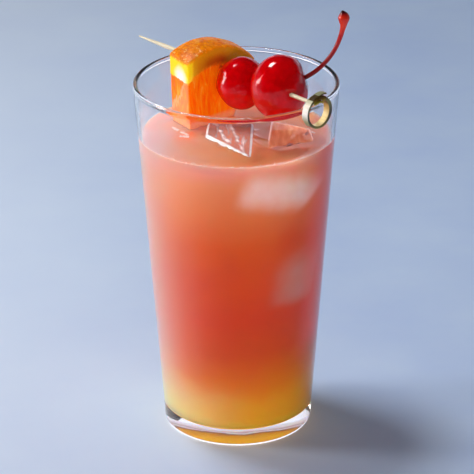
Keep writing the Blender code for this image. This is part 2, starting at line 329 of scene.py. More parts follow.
# %% Tumbler
POLISHED_BEAD = 0.95 * MM
BEAD_DROP = 1.2 * MM
BEAD_START = 222
bead_height = GLASS_HEIGHT - POLISHED_BEAD
bead_centre = (outer_wall(bead_height) - POLISHED_BEAD, bead_height)
foot_centre = (outer_wall(FOOT_ROUNDING) - FOOT_ROUNDING, FOOT_ROUNDING)
rim = arc(bead_centre, POLISHED_BEAD, BEAD_START, 0, count=19)
foot = arc(foot_centre, FOOT_ROUNDING, 0, -90, count=9)
inside = bowl(0.0, bead_height - BEAD_DROP)
tumbler_outline = [
    *inside[:-1], *straight(inside[-2], inside[-1]), inside[-1],
    *rim, *straight(rim[-1], foot[0]), *foot, (0.0, 0.0),
]
tumbler = put("tumbler", turned("tumbler", tumbler_outline))
tumbler.visible_shadow = False
show(tumbler, [soda_lime], "clear_glass", "tumbler_glass")

# %% [markdown]
# The garnish is placed in the pick's own directions: X sideways, Y up and Z along the pick
# towards its knot. The pick lies on the rim, turned 48 degrees, a little behind the middle.
# In the room's directions, every piece on it would need that turn worked into its numbers.

# %% The pick's own frame
PICK_TURN = math.radians(-48.28)
PICK_OFFSET = 3.45 * MM
PICK_RADIUS = 0.9 * MM
along = Vector((math.cos(PICK_TURN), math.sin(PICK_TURN), 0.0))
sideways = UP.cross(along)
pick_middle = sideways * PICK_OFFSET + UP * (GLASS_HEIGHT + GAP + PICK_RADIUS)
pick_place = Matrix.Translation(pick_middle) @ Matrix((sideways, UP, along)).transposed().to_4x4()


def at_pick(x=0.0, y=0.0, z=0.0):
    """A place on the pick, as the matrix of a piece that sits there."""
    return pick_place @ Matrix.Translation((x, y, z))


print("pick crosses the glass at", in_mm(*pick_middle), "mm")

# %% [markdown]
# Ice and fruit have forms that melted or grew, with no sharp edge. They start as copies of the
# model's solids. A voxel remesh gives a copy an even skin, fine enough to take small dents,
# and noise then moves its corners in and out.

# %% An even skin and its relief
def copy_of(node, place=None):
    """A copy of a solid's mesh, in the local space of a place."""
    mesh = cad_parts[node].data.copy()
    if place is not None:
        mesh.transform(place.inverted())
    return mesh


def remeshed(name, mesh, voxel, softening=0):
    """An even skin over a mesh, with its edges worn round by a number of smoothing steps."""
    blank = put(name + "_blank", mesh)
    remesh = blank.modifiers.new("Even skin", "REMESH")
    remesh.mode = "VOXEL"
    remesh.voxel_size = voxel
    remesh.use_smooth_shade = True
    if softening:
        blank.modifiers.new("Worn edges", "SMOOTH").iterations = softening
    skin = evaluated(blank)
    print(name, "skin has", len(skin.vertices), "corners")
    return skin


def push(mesh, depth_at):
    """Moves each corner along its normal by depth_at(place, normal)."""
    normals = [v.normal.copy() for v in mesh.vertices]
    for vertex, normal in zip(mesh.vertices, normals):
        vertex.co += normal * depth_at(vertex.co, normal)
    mesh.update()
    return mesh


def uneven(place, size, middle, swing):
    """A value that wanders about its middle over lumps of this size."""
    return middle + swing * noise.noise(place / size)


# %% [markdown]
# Ice cubes from a tray have flat faces that melt to soft edges and shallow dents, and the top
# melts into long ridges. Sculpting would give such dents too. A noise gives them in a few
# lines, and can be made deeper or wider afterwards. Stretched along one direction, it gives the
# ridges.

# %% Relief of melting ice
ICE_GRAIN = Euler((0.0, 0.0, math.radians(17)))
ICE_DENT = 0.22 * MM
ICE_DENT_SIZE = 6 * MM
ICE_RIDGE = 0.55 * MM
RIDGE_WIDTH = 5 * MM
RIDGE_LENGTH = 22 * MM
RIDGE_START = Vector((3.1, 0.4, 0.0))
FACES_UP = 0.6


def ice_dent(place, normal):
    """Shallow dents all over, and long ridges across the top."""
    dent = uneven(place, ICE_DENT_SIZE, -0.2 * ICE_DENT, ICE_DENT)
    if normal.z < FACES_UP:
        return dent
    grain = place.copy()
    grain.rotate(ICE_GRAIN)
    grain = Vector((grain.x / RIDGE_WIDTH, grain.y / RIDGE_LENGTH, 0.0)) + RIDGE_START
    return dent - ICE_RIDGE * (0.5 - abs(noise.noise(grain)))


print("ridges of", in_mm(RIDGE_WIDTH, RIDGE_LENGTH), "mm and", in_mm(ICE_RIDGE), "mm deep")

# %% [markdown]
# Air that was trapped as the water froze lies in fine threads, all one way, the way the ridges
# run. Modelled one by one they would be thousands, so a noise squeezed along that direction
# draws them for both blocks.

# %% Veins of air
def ice_veins(tree, width, squeeze, roughness):
    """Streaks of trapped air: a noise that is squeezed along the grain of the ice."""
    place = add(tree, "TexCoord", out="Object")
    grain = add(tree, "Mapping", {"Vector": place, "Rotation": tuple(ICE_GRAIN),
                                  "Scale": (1.0, squeeze, 1.0)})
    return add(tree, "TexNoise", {"Vector": grain, "Scale": per(width), "Detail": 4.0,
                                  "Roughness": roughness})


print("veins run", round(math.degrees(ICE_GRAIN.z)), "degrees off the glass's own directions")

# %% [markdown]
# The middle block stands out of the drink. It is clear where it froze slowly, and milky along
# its veins of air and its cracks. Its white edges, and the white along its cracks, are partly
# painted highlights. Where it is clear, the drink shows through it. A cloudy volume inside would
# be truer, but it needs many more samples than a clear skin whose transmission falls where the ice
# is milky.

# %% Clear ice, frozen in a tray and melted smooth
# Wet ice is nearly a mirror, so roughness is 0.05; its IOR is 1.31, a little less than water's.
# Real veins are hair-fine and blur together, so they are drawn as streaks 3.2 mm wide.
ice, tree = new_finish("clear_ice", {"Roughness": 0.05, "IOR": 1.31})
veins = ice_veins(tree, width=3.2 * MM, squeeze=0.16, roughness=0.62)
milky = add(tree, "MapRange", {"Value": veins, "From Min": 0.54, "From Max": 0.72})
# Painted highlight: white where the edges and cracks catch the light
frosted = add(tree, "Attribute", out="Fac", attribute_name="frosted")
milky = add(tree, "Math", {0: milky, 1: frosted}, operation="MAXIMUM")
clear = add(tree, "MapRange", {"Value": milky, "To Min": 0.80, "To Max": 0.05})
ice_colour = add(tree, "ValToRGB", {"Fac": milky}, stops=((0.0, "#dcc0c4"), (1.0, "#ffffff")))
place = add(tree, "TexCoord", out="Object")
melt = add(tree, "TexNoise", {"Vector": place, "Scale": per(2.5 * MM), "Detail": 2.0})
melt = add(tree, "Bump", {"Height": melt, "Strength": 0.35, "Distance": 0.4 * MM})
paint(ice, Base_Color=ice_colour, Transmission_Weight=clear, Normal=melt)

# %% [markdown]
# The right block only just breaks the surface, so drink runs over it. Glass-like ice under a
# film of liquid would need two layers that nearly touch, and renders badly. One cloudy finish
# in the colours of the film, with the ice's streaks in it, looks the same from outside.

# %% Ice awash, under a film of cloudy drink
# The film softens the shine a little, to roughness 0.08, and light spreads in it.
awash, tree = new_finish("ice_under_a_film_of_drink", {
    "Roughness": 0.08,
    "IOR": 1.31,
    "Subsurface Weight": 0.8,
    "Subsurface Radius": (1.0, 0.35, 0.2),
    "Subsurface Scale": 6 * MM,
    # The emission is a painted glow in the film's colours, which lifts the block where shade falls
    # on it
    "Emission Strength": 0.42,
})
veins = ice_veins(tree, width=2.4 * MM, squeeze=0.2, roughness=0.5)
film = add(tree, "ValToRGB", {"Fac": veins}, stops=(
    (0.3, "#cc6230"), (0.5, "#d87444"), (0.7, "#e8966a")))
# Painted highlight on the block's edges, weak under the film
frosted = add(tree, "Attribute", out="Fac", attribute_name="frosted")
film = add(tree, "Mix", {0: frosted, 6: film, 7: linear("#f8e9e8")}, **OF_COLOURS)
paint(awash, Base_Color=film, Emission_Color=film)

# %% [markdown]
# Light gathers in the rounded edges of ice and in its cracks, and both look white. This white is
# painted into the colour: a painted highlight on the edges, and on the cracks partly their own
# white air and partly a painted highlight. Where they are is measured corner by corner and kept
# with the mesh as an attribute, which the finishes above read. A corner is on an edge when its
# normal is turned away from every flat face. The Geometry node's pointiness finds edges as well,
# but it would find every small dent too.

# %% Painted highlights on the edges, and white cracks
EDGE_OFF = 0.02
EDGE_FADE = 0.06
FROST_PATCH = 2.6 * MM
CRACK_BEND = 2.2 * MM
CRACK_SPREAD = 3.0 * MM
THINNEST_CRACK = 0.1 * MM


def distance_to_crack(spot, start, end):
    """How far a spot is, seen from above, from the line between two (x, y) points."""
    start, end = Vector(start) * MM, Vector(end) * MM
    run = end - start
    share = min(max((spot.xy - start).dot(run) / run.length_squared, 0.0), 1.0)
    return (spot.xy - start - run * share).length


def whiteness(spot, normal, faces, edge_share, cracks):
    """How white the ice looks at a spot, from 0 to 1."""
    off = 1.0 - max(normal.dot(face) for face in faces)
    on_edge = min(max((off - EDGE_OFF) / EDGE_FADE, 0.0), 1.0)
    white = on_edge * edge_share * uneven(spot, FROST_PATCH, middle=0.95, swing=0.35)
    for start, end, width in cracks:
        bend = uneven(spot, CRACK_BEND, middle=0.0, swing=0.9 * MM)
        apart = distance_to_crack(spot, start, end) + bend
        spread = width * MM * uneven(spot, CRACK_SPREAD, middle=1.0, swing=0.8)
        in_crack = math.exp(-(apart / max(spread, THINNEST_CRACK)) ** 2)
        white = max(white, in_crack * uneven(spot, FROST_PATCH, middle=0.75, swing=0.9))
    return min(max(white, 0.0), 1.0)


edge_angle = math.degrees(math.acos(1.0 - EDGE_OFF))
print("ice turns white where it leaves a flat face by", round(edge_angle, 1), "degrees")

# %% [markdown]
# A block's flat sides are the largest faces of its solid. The middle block has two cracks
# across its top. The right one lies under its film of drink, so its edges hardly show. Both
# are made by the same loop, so that they are plainly two cubes of one tray.

# %% Blocks of ice
ICE_VOXEL = 0.3 * MM
FLAT_SIDES = 12
# A crack is its two ends in millimetres, seen from above, and its width
CENTRE_CRACKS = (((-10.0, 5.5), (-3.4, -14.5), 0.7), ((-3.6, 5.0), (3.2, -27.0), 0.55))
BLOCKS = (("ice_centre", ice, 1.0, CENTRE_CRACKS), ("ice_right", awash, 0.2, ()))
for node, finish, edge_share, cracks in BLOCKS:
    largest = sorted(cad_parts[node].data.polygons, key=lambda p: p.area)[-FLAT_SIDES:]
    flat_faces = [p.normal.copy() for p in largest]
    block_mesh = remeshed(node, copy_of(node), ICE_VOXEL)
    # Each corner's mark holds its painted edge highlight and the white of the cracks
    marks = block_mesh.attributes.new("frosted", "FLOAT", "POINT")
    for vertex, mark in zip(block_mesh.vertices, marks.data):
        mark.value = whiteness(vertex.co, vertex.normal, flat_faces, edge_share, cracks)
    block = put(node + "_block", push(block_mesh, ice_dent))
    block.visible_shadow = False
    show(block, [finish], "ice", node)

# %% [markdown]
# The drink is one cloudy liquid whose lower part is almost pure juice. It fills the glass, so
# its skin reaches a hair into the wall and no film of air shows between them. Liquid climbs
# whatever it wets, so the outline already curves up where it meets the wall, in rings that
# stand close together there and further apart towards the middle.

# %% Outline of the drink
DRINK_REACH = 0.08 * MM
SETTLED_LEVEL = LIQUID_LEVEL - 0.8 * MM
WALL_RISE = 0.22 * MM
WALL_CURVE = 1.6 * MM
WALL_ROWS = 60
SURFACE_RINGS = 40
FIRST_RING = 0.2 * MM
RING_GROWTH = 1.09
SMALLEST_RING = 0.6 * MM

surface_top = SETTLED_LEVEL + WALL_RISE
wall_radius = inner_wall(surface_top) + DRINK_REACH
from_wall = [0.0] + [FIRST_RING * RING_GROWTH ** i * (i + 1) for i in range(SURFACE_RINGS)]
surface = [(wall_radius - d, SETTLED_LEVEL + WALL_RISE * math.exp(-d / WALL_CURVE))
           for d in from_wall if wall_radius - d > SMALLEST_RING] + [(0.0, SETTLED_LEVEL)]
base = bowl(DRINK_REACH, surface_top)[:-1]
wall_start = base[-1][1]
wall_heights = [wall_start + (surface_top - wall_start) * row / WALL_ROWS
                for row in range(1, WALL_ROWS)]
wall = [(inner_wall(height) + DRINK_REACH, height) for height in wall_heights]
drink_mesh = turned("drink", base + wall + surface)

# %% [markdown]
# The surface also climbs the ice and the orange, by a fraction of a millimetre, within about
# a millimetre of them. A fluid simulation could find that curve, but its form is known: it
# falls off with the distance. A search tree finds that distance for every corner.

# %% The liquid's climb
PIECE_RISES = {"ice_centre": 0.9 * MM, "ice_right": 0.3 * MM, "orange_slice": 0.9 * MM}
PIECE_CURVE = 1.1 * MM
BELOW_SURFACE = 0.05 * MM
AT_WALL = 0.1 * MM
WAVE_AT_WALL = 5 * MM

skins = {}
for node in PIECE_RISES:
    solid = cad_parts[node].data
    skins[node] = BVHTree.FromPolygons([v.co for v in solid.vertices],
                                       [p.vertices for p in solid.polygons])
for vertex in drink_mesh.vertices:
    if vertex.co.z <= SETTLED_LEVEL - BELOW_SURFACE:
        continue
    inward = wall_radius - math.hypot(*vertex.co.xy)
    if inward > AT_WALL:
        level = Vector((vertex.co.x, vertex.co.y, SETTLED_LEVEL))
        vertex.co.z += max(rise * math.exp(-skins[node].find_nearest(level)[3] / PIECE_CURVE)
                           for node, rise in PIECE_RISES.items())
    wave = uneven(vertex.co, WAVE_AT_WALL, middle=0.0, swing=0.5 * WALL_RISE)
    vertex.co.z += wave * math.exp(-inward / WALL_CURVE)
highest = max(vertex.co.z for vertex in drink_mesh.vertices)
print("surface at", in_mm(SETTLED_LEVEL), "mm, highest at", in_mm(highest), "mm")

# %% [markdown]
# Ice and orange dip into the drink, so it needs pockets for them. A Boolean modifier cuts
# each out, from a copy of the piece that is a little too small, so that the piece always
# presses into the liquid and never leaves a gap. The pockets end 6 mm down, where the
# cloudy liquid hides what is in it.

# %% Pockets for what dips in
POCKET_DEPTH = 6 * MM
POCKET_OVERLAP = 0.3 * MM
SHARP_EDGE = math.radians(40)
blank = put("drink_blank", drink_mesh)
for node in PIECE_RISES:
    shrunk = push(copy_of(node), lambda place, normal: -POCKET_OVERLAP)
    for vertex in shrunk.vertices:
        vertex.co.z = max(vertex.co.z, SETTLED_LEVEL - POCKET_DEPTH)
    pocket = blank.modifiers.new(node, "BOOLEAN")
    pocket.operation = "DIFFERENCE"
    pocket.object = put(node + "_pocket", shrunk)
cut_mesh = evaluated(blank)
for node in PIECE_RISES:
    bpy.data.objects.remove(bpy.data.objects[node + "_pocket"])
cut_mesh.shade_smooth()
cut_mesh.set_sharp_from_angle(angle=SHARP_EDGE)
print("drink has", len(cut_mesh.polygons), "faces after", len(PIECE_RISES), "pockets")

# %% [markdown]
# The orange throws its colour on the liquid in front of it, and the sunk part of the right
# block darkens the liquid round it. The finish can't measure distances, so they are kept
# with the mesh, as the frost of the ice was.

# %% How near the surface is to the orange and the ice
# Each mark has its solid, its reach, and how strongly it keeps to the solid's front
NEARNESS = (("near_orange", "orange_slice", 8 * MM, 4), ("near_ice", "ice_right", 12 * MM, 0))
FALL_OFF = 1.5
for name, node, reach, narrowing in NEARNESS:
    marks = cut_mesh.attributes.new(name, "FLOAT", "POINT")
    for vertex, mark in zip(cut_mesh.vertices, marks.data):
        nearest, _, _, distance = skins[node].find_nearest(vertex.co)
        in_front = max((nearest - vertex.co).xy.normalized().y, 0.0) ** narrowing
        mark.value = math.exp(-(distance / reach) ** FALL_OFF) * in_front
    print(name, "reaches", in_mm(reach), "mm")

# %% [markdown]
# What is in the glass: orange juice, thick with fine pulp, under the pink mix of fruit juices
# and vodka. Light enters such a liquid and wanders, so it glows on the window's side and grows
# deeper away from it. That is what subsurface scattering gives, and a volume would give it
# too, but only with many more samples. Red light wanders furthest, blue least.

# %% Cloudy fruit drink, poured and left to settle
# Water has an IOR of 1.33, and sugar lifts it to 1.34. Against the wall there is no air, so
# the liquid has hardly a shine of its own there: it is rough, with a low specular level.
CLOUDY = {
    "Subsurface Weight": 1.0,
    "Subsurface Radius": (1.0, 0.35, 0.2),
    "Subsurface Scale": 18 * MM,
    "IOR": 1.34,
}
in_glass, tree = new_finish("cloudy_drink_against_glass", {
    **CLOUDY, "Roughness": 0.5, "Specular IOR Level": 0.1})
place = add(tree, "TexCoord", out="Object")
parts = add(tree, "SeparateXYZ", {0: place}).node.outputs

# %% [markdown]
# Colour follows height, because the heavy juice has sunk. Two solids with a finish each would
# meet in a hard line, so one finish paints both liquids through a ramp of colours. A drifting
# noise bends the layers, and they lean a little to one side, as in a glass that was carried.

# %% Layers
# Each stop is a share of the liquid's height and the colour there
LAYERS = (
    (0.000, "#f4be30"), (0.150, "#f0ae20"), (0.200, "#ea9014"), (0.260, "#e2740e"),
    (0.340, "#dc5808"), (0.450, "#de4a08"), (0.600, "#e2580a"), (0.720, "#e4660e"),
    (0.840, "#ec8c4c"), (0.930, "#eb9e70"), (0.975, "#e8a28c"), (1.0, "#d89c92"),
)
LAYER_LEAN = (-0.06, 0.0, 1.0)
LAYER_DRIFT = 4.5 * MM
drift = add(tree, "TexNoise", {"Vector": place, "Scale": per(22 * MM), "Detail": 3.0})
drift = add(tree, "MapRange", {"Value": drift, "To Min": -LAYER_DRIFT, "To Max": LAYER_DRIFT})
height = add(tree, "VectorMath", {0: place, 1: LAYER_LEAN}, out="Value",
             operation="DOT_PRODUCT")
height = add(tree, "Math", {0: height, 1: drift}, operation="ADD")
height_share = add(tree, "Math", {0: height, 1: LIQUID_LEVEL}, operation="DIVIDE")
colour = add(tree, "ValToRGB", {"Fac": height_share}, stops=LAYERS)
print("drink has", len(LAYERS), "stops of colour, drifting by", in_mm(LAYER_DRIFT), "mm")

# %% [markdown]
# The mix isn't even: where less juice has reached it, it is redder. A simulation of smoke would
# swirl like that, but it takes minutes to run. A slow noise gives wide, soft clouds of red at
# once, and two fades by height keep them between the juice and the ice.

# %% Redder clouds
CLOUD_SIZE = 38 * MM
REDDEST = 0.35
clouds = add(tree, "TexNoise", {"Vector": place, "Scale": per(CLOUD_SIZE), "Detail": 2.0})
redder = add(tree, "MapRange", {"Value": clouds, "From Min": 0.46, "From Max": 0.66,
                                "To Max": REDDEST}, **SOFTLY)
above_juice = add(tree, "MapRange", {"Value": height_share, "From Min": 0.25,
                                     "From Max": 0.36}, **SOFTLY)
below_ice = add(tree, "MapRange", {"Value": height_share, "From Min": 0.9,
                                   "From Max": 0.76}, **SOFTLY)
redder = add(tree, "Math", {0: redder, 1: below_ice}, operation="MULTIPLY")
redder = add(tree, "Math", {0: redder, 1: above_juice}, operation="MULTIPLY")
colour = add(tree, "Mix", {0: redder, 6: colour, 7: linear("#d2301c")}, **OF_COLOURS)
print("clouds of", in_mm(CLOUD_SIZE), "mm take up", REDDEST, "of red")

# %% [markdown]
# Where a sunk block of ice leans on the wall, the liquid in front of it is thin and looks
# pale. No solid is there, so the patch is painted. The wall is unrolled like a label: the
# azimuth from the front in degrees is one axis and the height in millimetres the other. A
# slow noise makes the edges wander.

# %% The unrolled wall
WANDER_DEGREES = 5.0
WANDER_HEIGHT = 2.0
to_drinker = add(tree, "Math", {0: parts["Y"], 1: -1.0}, operation="MULTIPLY")
turn = add(tree, "Math", {0: parts["X"], 1: to_drinker}, operation="ARCTAN2")
turn = add(tree, "Math", {0: turn}, operation="DEGREES")
up = add(tree, "Math", {0: parts["Z"], 1: per(MM)}, operation="MULTIPLY")
wander = add(tree, "TexNoise", {"Vector": place, "Scale": per(7 * MM), "Detail": 2.0})
wander = add(tree, "Math", {0: wander, 1: 0.5}, operation="SUBTRACT")
turn = add(tree, "Math", {0: wander, 1: WANDER_DEGREES, 2: turn}, operation="MULTIPLY_ADD")
up = add(tree, "Math", {0: wander, 1: WANDER_HEIGHT, 2: up}, operation="MULTIPLY_ADD")
bow = add(tree, "Math", {0: turn, 1: turn}, operation="MULTIPLY")
unrolled = add(tree, "CombineXYZ", {0: turn, 1: up, 2: bow})
print("the wall is unrolled with", len(tree.nodes), "nodes so far")

# %% [markdown]
# A patch is what lies inside all of its edges. An edge is a line on the unrolled wall, written
# as weights for the azimuth, the height and the azimuth squared, which bows it, and the two
# values between which the patch fades in.

# %% Pale patches of sunk ice
# Each patch has its strength, its colour and its edges
PALE_PATCHES = (
    (0.90, "#fadcd6", (
        ((1.0, -0.52, 0.0), -63.0, -50.0),
        ((0.0, -1.0, -0.002), -127.5, -119.0),
        ((-1.0, 0.0, 0.0), -66.5, -62.5),
        ((-0.43, 1.0, 0.0), 84.5, 89.5),
        ((0.13, 1.0, 0.0), 107.5, 117.5))),
    (0.60, "#d6aca2", (
        ((1.0, 0.0, 0.0), 16.0, 42.0),
        ((0.94, -1.0, 0.0), -70.0, -45.0),
        ((0.0, -1.0, 0.0), -91.0, -76.0),
        ((-1.0, 0.42, 0.0), -33.5, -28.5),
        ((0.0, 1.0, 0.0), 61.5, 68.0))),
)
mottle = add(tree, "TexNoise", {"Vector": place, "Scale": per(6 * MM), "Detail": 3.0})
mottle = add(tree, "MapRange", {"Value": mottle, "From Min": 0.3, "From Max": 0.7,
                                "To Min": 0.90, "To Max": 1.10})
for strength, pale, edges in PALE_PATCHES:
    inside = add(tree, "Math", {0: mottle, 1: strength}, operation="MULTIPLY")
    for weights, begins, full in edges:
        across_edge = add(tree, "VectorMath", {0: unrolled, 1: weights}, out="Value",
                          operation="DOT_PRODUCT")
        within = add(tree, "MapRange", {"Value": across_edge, "From Min": begins,
                                        "From Max": full}, **SOFTLY)
        inside = add(tree, "Math", {0: within, 1: inside}, operation="MULTIPLY")
    colour = add(tree, "Mix", {0: inside, 6: colour, 7: linear(pale)}, **OF_COLOURS)
    print("patch of", pale, "inside", len(edges), "edges")

# %% [markdown]
# Light from the window comes in at the left and is scattered back before it turns red, so the
# drink looks pale there, and the juice paler still. At the right edge the last red light comes
# out. Subsurface scattering shows this only in part, so the rest is painted light in the colour:
# paler on the window's side, with the window's painted reflection, and a red glow at the right edge.

# %% Painted light on the window's side and at the far edge
# By the place across the glass, red holds how pale the drink is and green how pale the juice is
LIT_SIDE = (
    (0.0, (0.80, 0.90, 0.0, 1.0)), (0.05, (0.60, 0.72, 0.0, 1.0)), (0.10, (0.43, 0.66, 0.0, 1.0)),
    (0.20, (0.19, 0.48, 0.0, 1.0)), (0.30, (0.07, 0.32, 0.0, 1.0)), (0.40, (0.02, 0.16, 0.0, 1.0)),
    (0.50, (0.0, 0.06, 0.0, 1.0)), (0.60, (0.0, 0.0, 0.0, 1.0)),
)
radius = add(tree, "MapRange", {
    "Value": parts["Z"], "From Min": 0.0, "From Max": LIQUID_LEVEL,
    "To Min": inner_wall(0.0), "To Max": inner_wall(LIQUID_LEVEL)})
across = add(tree, "Math", {0: parts["X"], 1: radius}, operation="DIVIDE")
across = add(tree, "MapRange", {"Value": across, "From Min": -1.0, "From Max": 1.0})
# Painted red glow along the far edge
far_edge = add(tree, "MapRange", {"Value": across, "From Min": 0.84, "From Max": 0.97,
                                  "To Max": 0.75}, **SOFTLY)
far_edge = add(tree, "Math", {0: far_edge, 1: above_juice}, operation="MULTIPLY")
colour = add(tree, "Mix", {0: far_edge, 6: colour, 7: linear("#ff6a58")}, **OF_COLOURS)
# Painted light and reflection on the window's side
lit = add(tree, "ValToRGB", {"Fac": across}, stops=LIT_SIDE)
lit = add(tree, "SeparateColor", {0: lit}).node.outputs
out_of_juice = add(tree, "MapRange", {"Value": height_share, "From Min": 0.15,
                                      "From Max": 0.25}, **SOFTLY)
lit = add(tree, "Mix", {0: out_of_juice, 2: lit["Green"], 3: lit["Red"]})
pale = add(tree, "ValToRGB", {"Fac": height_share}, stops=(
    (0.12, "#e4e2b0"), (0.26, "#dcc2b8"), (1.0, "#d8b8b0")))
colour = add(tree, "Mix", {0: lit, 6: colour, 7: pale}, **OF_COLOURS)
paint(in_glass, Base_Color=colour)

# %% [markdown]
# The top of the drink is open to the air, so it is as smooth as water. It is painted paler and
# pinker on the left, as a painted reflection of the pale room, deeper near the sunk ice, and
# orange in front of the orange. Where it climbs the wall it thins out and pales.

# %% Surface of the drink, still and open to the air
# A still liquid is almost a mirror; the fine pulp dulls it a little, to roughness 0.06.
SURFACE = ((0.0, "#c09a9a"), (0.3, "#cf8f70"), (0.5, "#dc8854"), (1.0, "#e4865a"))
FROTH_DRIFT = 12 * MM
# The emission is a painted glow in the surface's own colours: it lifts it where the garnish shades
# it, and makes the tint in front of the orange glow
open_top, tree = new_finish("cloudy_drink_surface", {
    **CLOUDY, "Roughness": 0.06, "Specular IOR Level": 0.25, "Emission Strength": 0.22})
place = add(tree, "TexCoord", out="Object")
drift = add(tree, "TexNoise", {"Vector": place, "Scale": per(14 * MM), "Detail": 3.0})
drift = add(tree, "MapRange", {"Value": drift, "To Min": -FROTH_DRIFT, "To Max": FROTH_DRIFT})
across = add(tree, "SeparateXYZ", {0: place}).node.outputs["X"]
across = add(tree, "Math", {0: across, 1: drift}, operation="ADD")
across = add(tree, "MapRange", {"Value": across, "From Min": -wall_radius,
                                "From Max": wall_radius})
# Painted reflection: paler and pinker towards the left
colour = add(tree, "ValToRGB", {"Fac": across}, stops=SURFACE)
for mark, strength, tint in (("near_ice", 0.7, "#ae5420"), ("near_orange", 0.95, "#ff6008")):
    nearness = add(tree, "Attribute", out="Fac", attribute_name=mark)
    nearness = add(tree, "Math", {0: nearness, 1: strength}, operation="MULTIPLY")
    colour = add(tree, "Mix", {0: nearness, 6: colour, 7: linear(tint)}, **OF_COLOURS)
flat = add(tree, "VectorMath", {0: place, 1: (1.0, 1.0, 0.0)}, operation="MULTIPLY")
from_axis = add(tree, "VectorMath", {0: flat}, out="Value", operation="LENGTH")
climbing = add(tree, "MapRange", {"Value": from_axis, "From Min": wall_radius - 2.4 * MM,
                                  "From Max": wall_radius - 0.6 * MM, "To Max": 0.5}, **SOFTLY)
colour = add(tree, "Mix", {0: climbing, 6: colour, 7: linear("#d09c92")}, **OF_COLOURS)
paint(open_top, Base_Color=colour, Emission_Color=colour)

# %% [markdown]
# Seen through the foot, the thick glass acts as a lens and shows the underside of the juice:
# yellow in front, then a painted dark line of shade, and behind it painted pale light, for the
# light that comes in round the foot. The bands curve with the foot, and a ripple breaks them up.
# The finish also glows in these colours, a painted light for what the thick floor gathers.

# %% Juice on the floor of the glass, with painted light and shade
# It touches the glass all over, so it has no shine: the specular level is 0. The ripple in the
# bands is 5 mm long, the size of the swirls that pouring leaves.
# The bow says how far a band bends away from the drinker at its sides: in metres, this many
# times the squared distance from the middle
BAND_BOW = 32.0
BAND_RIPPLE = 3.5 * MM
on_floor, tree = new_finish("juice_over_glass_floor", {
    **CLOUDY, "Roughness": 0.5, "Specular IOR Level": 0.0, "Emission Strength": 0.4})
place = add(tree, "TexCoord", out="Object")
parts = add(tree, "SeparateXYZ", {0: place}).node.outputs
ripple = add(tree, "TexNoise", {"Vector": place, "Scale": per(5 * MM), "Detail": 3.0})
ripple = add(tree, "MapRange", {"Value": ripple, "To Min": -BAND_RIPPLE, "To Max": BAND_RIPPLE})
bow = add(tree, "Math", {0: parts["X"], 1: parts["X"]}, operation="MULTIPLY")
far = add(tree, "Math", {0: parts["Y"], 1: ripple}, operation="ADD")
far = add(tree, "Math", {0: bow, 1: -BAND_BOW, 2: far}, operation="MULTIPLY_ADD")
far = add(tree, "MapRange", {"Value": far, "From Min": 0.0, "From Max": 30 * MM})
# Painted light and shade: yellow juice, a dark line, then pale light behind it
bands = add(tree, "ValToRGB", {"Fac": far}, stops=(
    (0.0, "#f0a818"), (0.30, "#f4b624"), (0.44, "#d0881c"), (0.50, "#7d5a4c"), (0.54, "#ece4ec"),
    (0.58, "#b8989a"), (0.63, "#e6dce4"), (0.72, "#f2f2fb")))
paint(on_floor, Base_Color=bands, Emission_Color=bands)

# %% [markdown]
# One piece carries all three finishes. A face that looks up near the top is surface, one that
# looks down near the floor is juice on glass, and the rest stands against the wall.

# %% Drink
LOOKS_UP = 0.15
LOOKS_DOWN = -0.85
drink = put("drink", cut_mesh)
show(drink, [in_glass, open_top, on_floor], "mixed_drink", "drink_juice_layer", "drink_mixed")
for face in cut_mesh.polygons:
    rises = face.normal.z > LOOKS_UP and face.center.z > SETTLED_LEVEL - POCKET_DEPTH - 1 * MM
    sinks = face.normal.z < LOOKS_DOWN and face.center.z < FLOOR_HEIGHT + 1 * MM
    face.material_index = 1 if rises else 2 if sinks else 0

# %% [markdown]
# Small bubbles gather where the surface meets the glass, and froth lies in short streaks by the
# orange and at the back. A particle system could scatter them, but it would ring the glass
# evenly. A seeded random draw in loose groups looks more like froth, and gives the same bubbles
# on each run.

# %% Places of the bubbles
WALL_BUBBLES = 170
FROTH_BUBBLES = 55
GROUPS = (210, 240, 262, 285, 305, 330, 350, 20, 45)
GROUP_SPREAD = 15
WALL_BUBBLE_SIZES = (0.09, 0.25)
FROTH_BUBBLE_SIZES = (0.12, 0.30)
OFF_WALL = 0.3 * MM
WALL_SCATTER = 0.6 * MM
FROTH_SCATTER = (0.25 * MM, 0.5 * MM)
FROTH_LIFT = 0.1 * MM
# A streak of froth lies between two (x, y) points in millimetres
FROTH = (((-25.9, 5.0), (-23.6, 1.9)), ((-22.6, 0.4), (-19.8, -3.2)), ((-22.6, -4.4), (-19.6, -5.1)),
         ((23.8, 4.1), (31.7, -1.5)))
rng = random.Random(7)
spots = []
for index in range(WALL_BUBBLES):
    turn = math.radians(rng.gauss(rng.choice(GROUPS), GROUP_SPREAD))
    inward = rng.expovariate(1.0) * WALL_SCATTER
    ring = inner_wall(SETTLED_LEVEL) - OFF_WALL - inward
    lift = WALL_RISE * math.exp(-inward / WALL_CURVE)
    centre = Vector((ring * math.cos(turn), ring * math.sin(turn), SETTLED_LEVEL + lift))
    spots.append((centre, rng.uniform(*WALL_BUBBLE_SIZES) * MM))
for start, end in FROTH:
    for index in range(FROTH_BUBBLES):
        spot = Vector(start).lerp(Vector(end), rng.random()) * MM
        centre = Vector((spot.x + rng.gauss(0, FROTH_SCATTER[0]),
                         spot.y + rng.gauss(0, FROTH_SCATTER[1]), SETTLED_LEVEL + FROTH_LIFT))
        spots.append((centre, rng.uniform(*FROTH_BUBBLE_SIZES) * MM))
print(len(spots), "bubbles")

# %% [markdown]
# A bubble's skin is a film of the drink. It is so thin that it is paler than the liquid, and
# together the small ones look almost white. They are all one mesh of small balls, because a few
# hundred objects would be slow to draw and clumsy to export.

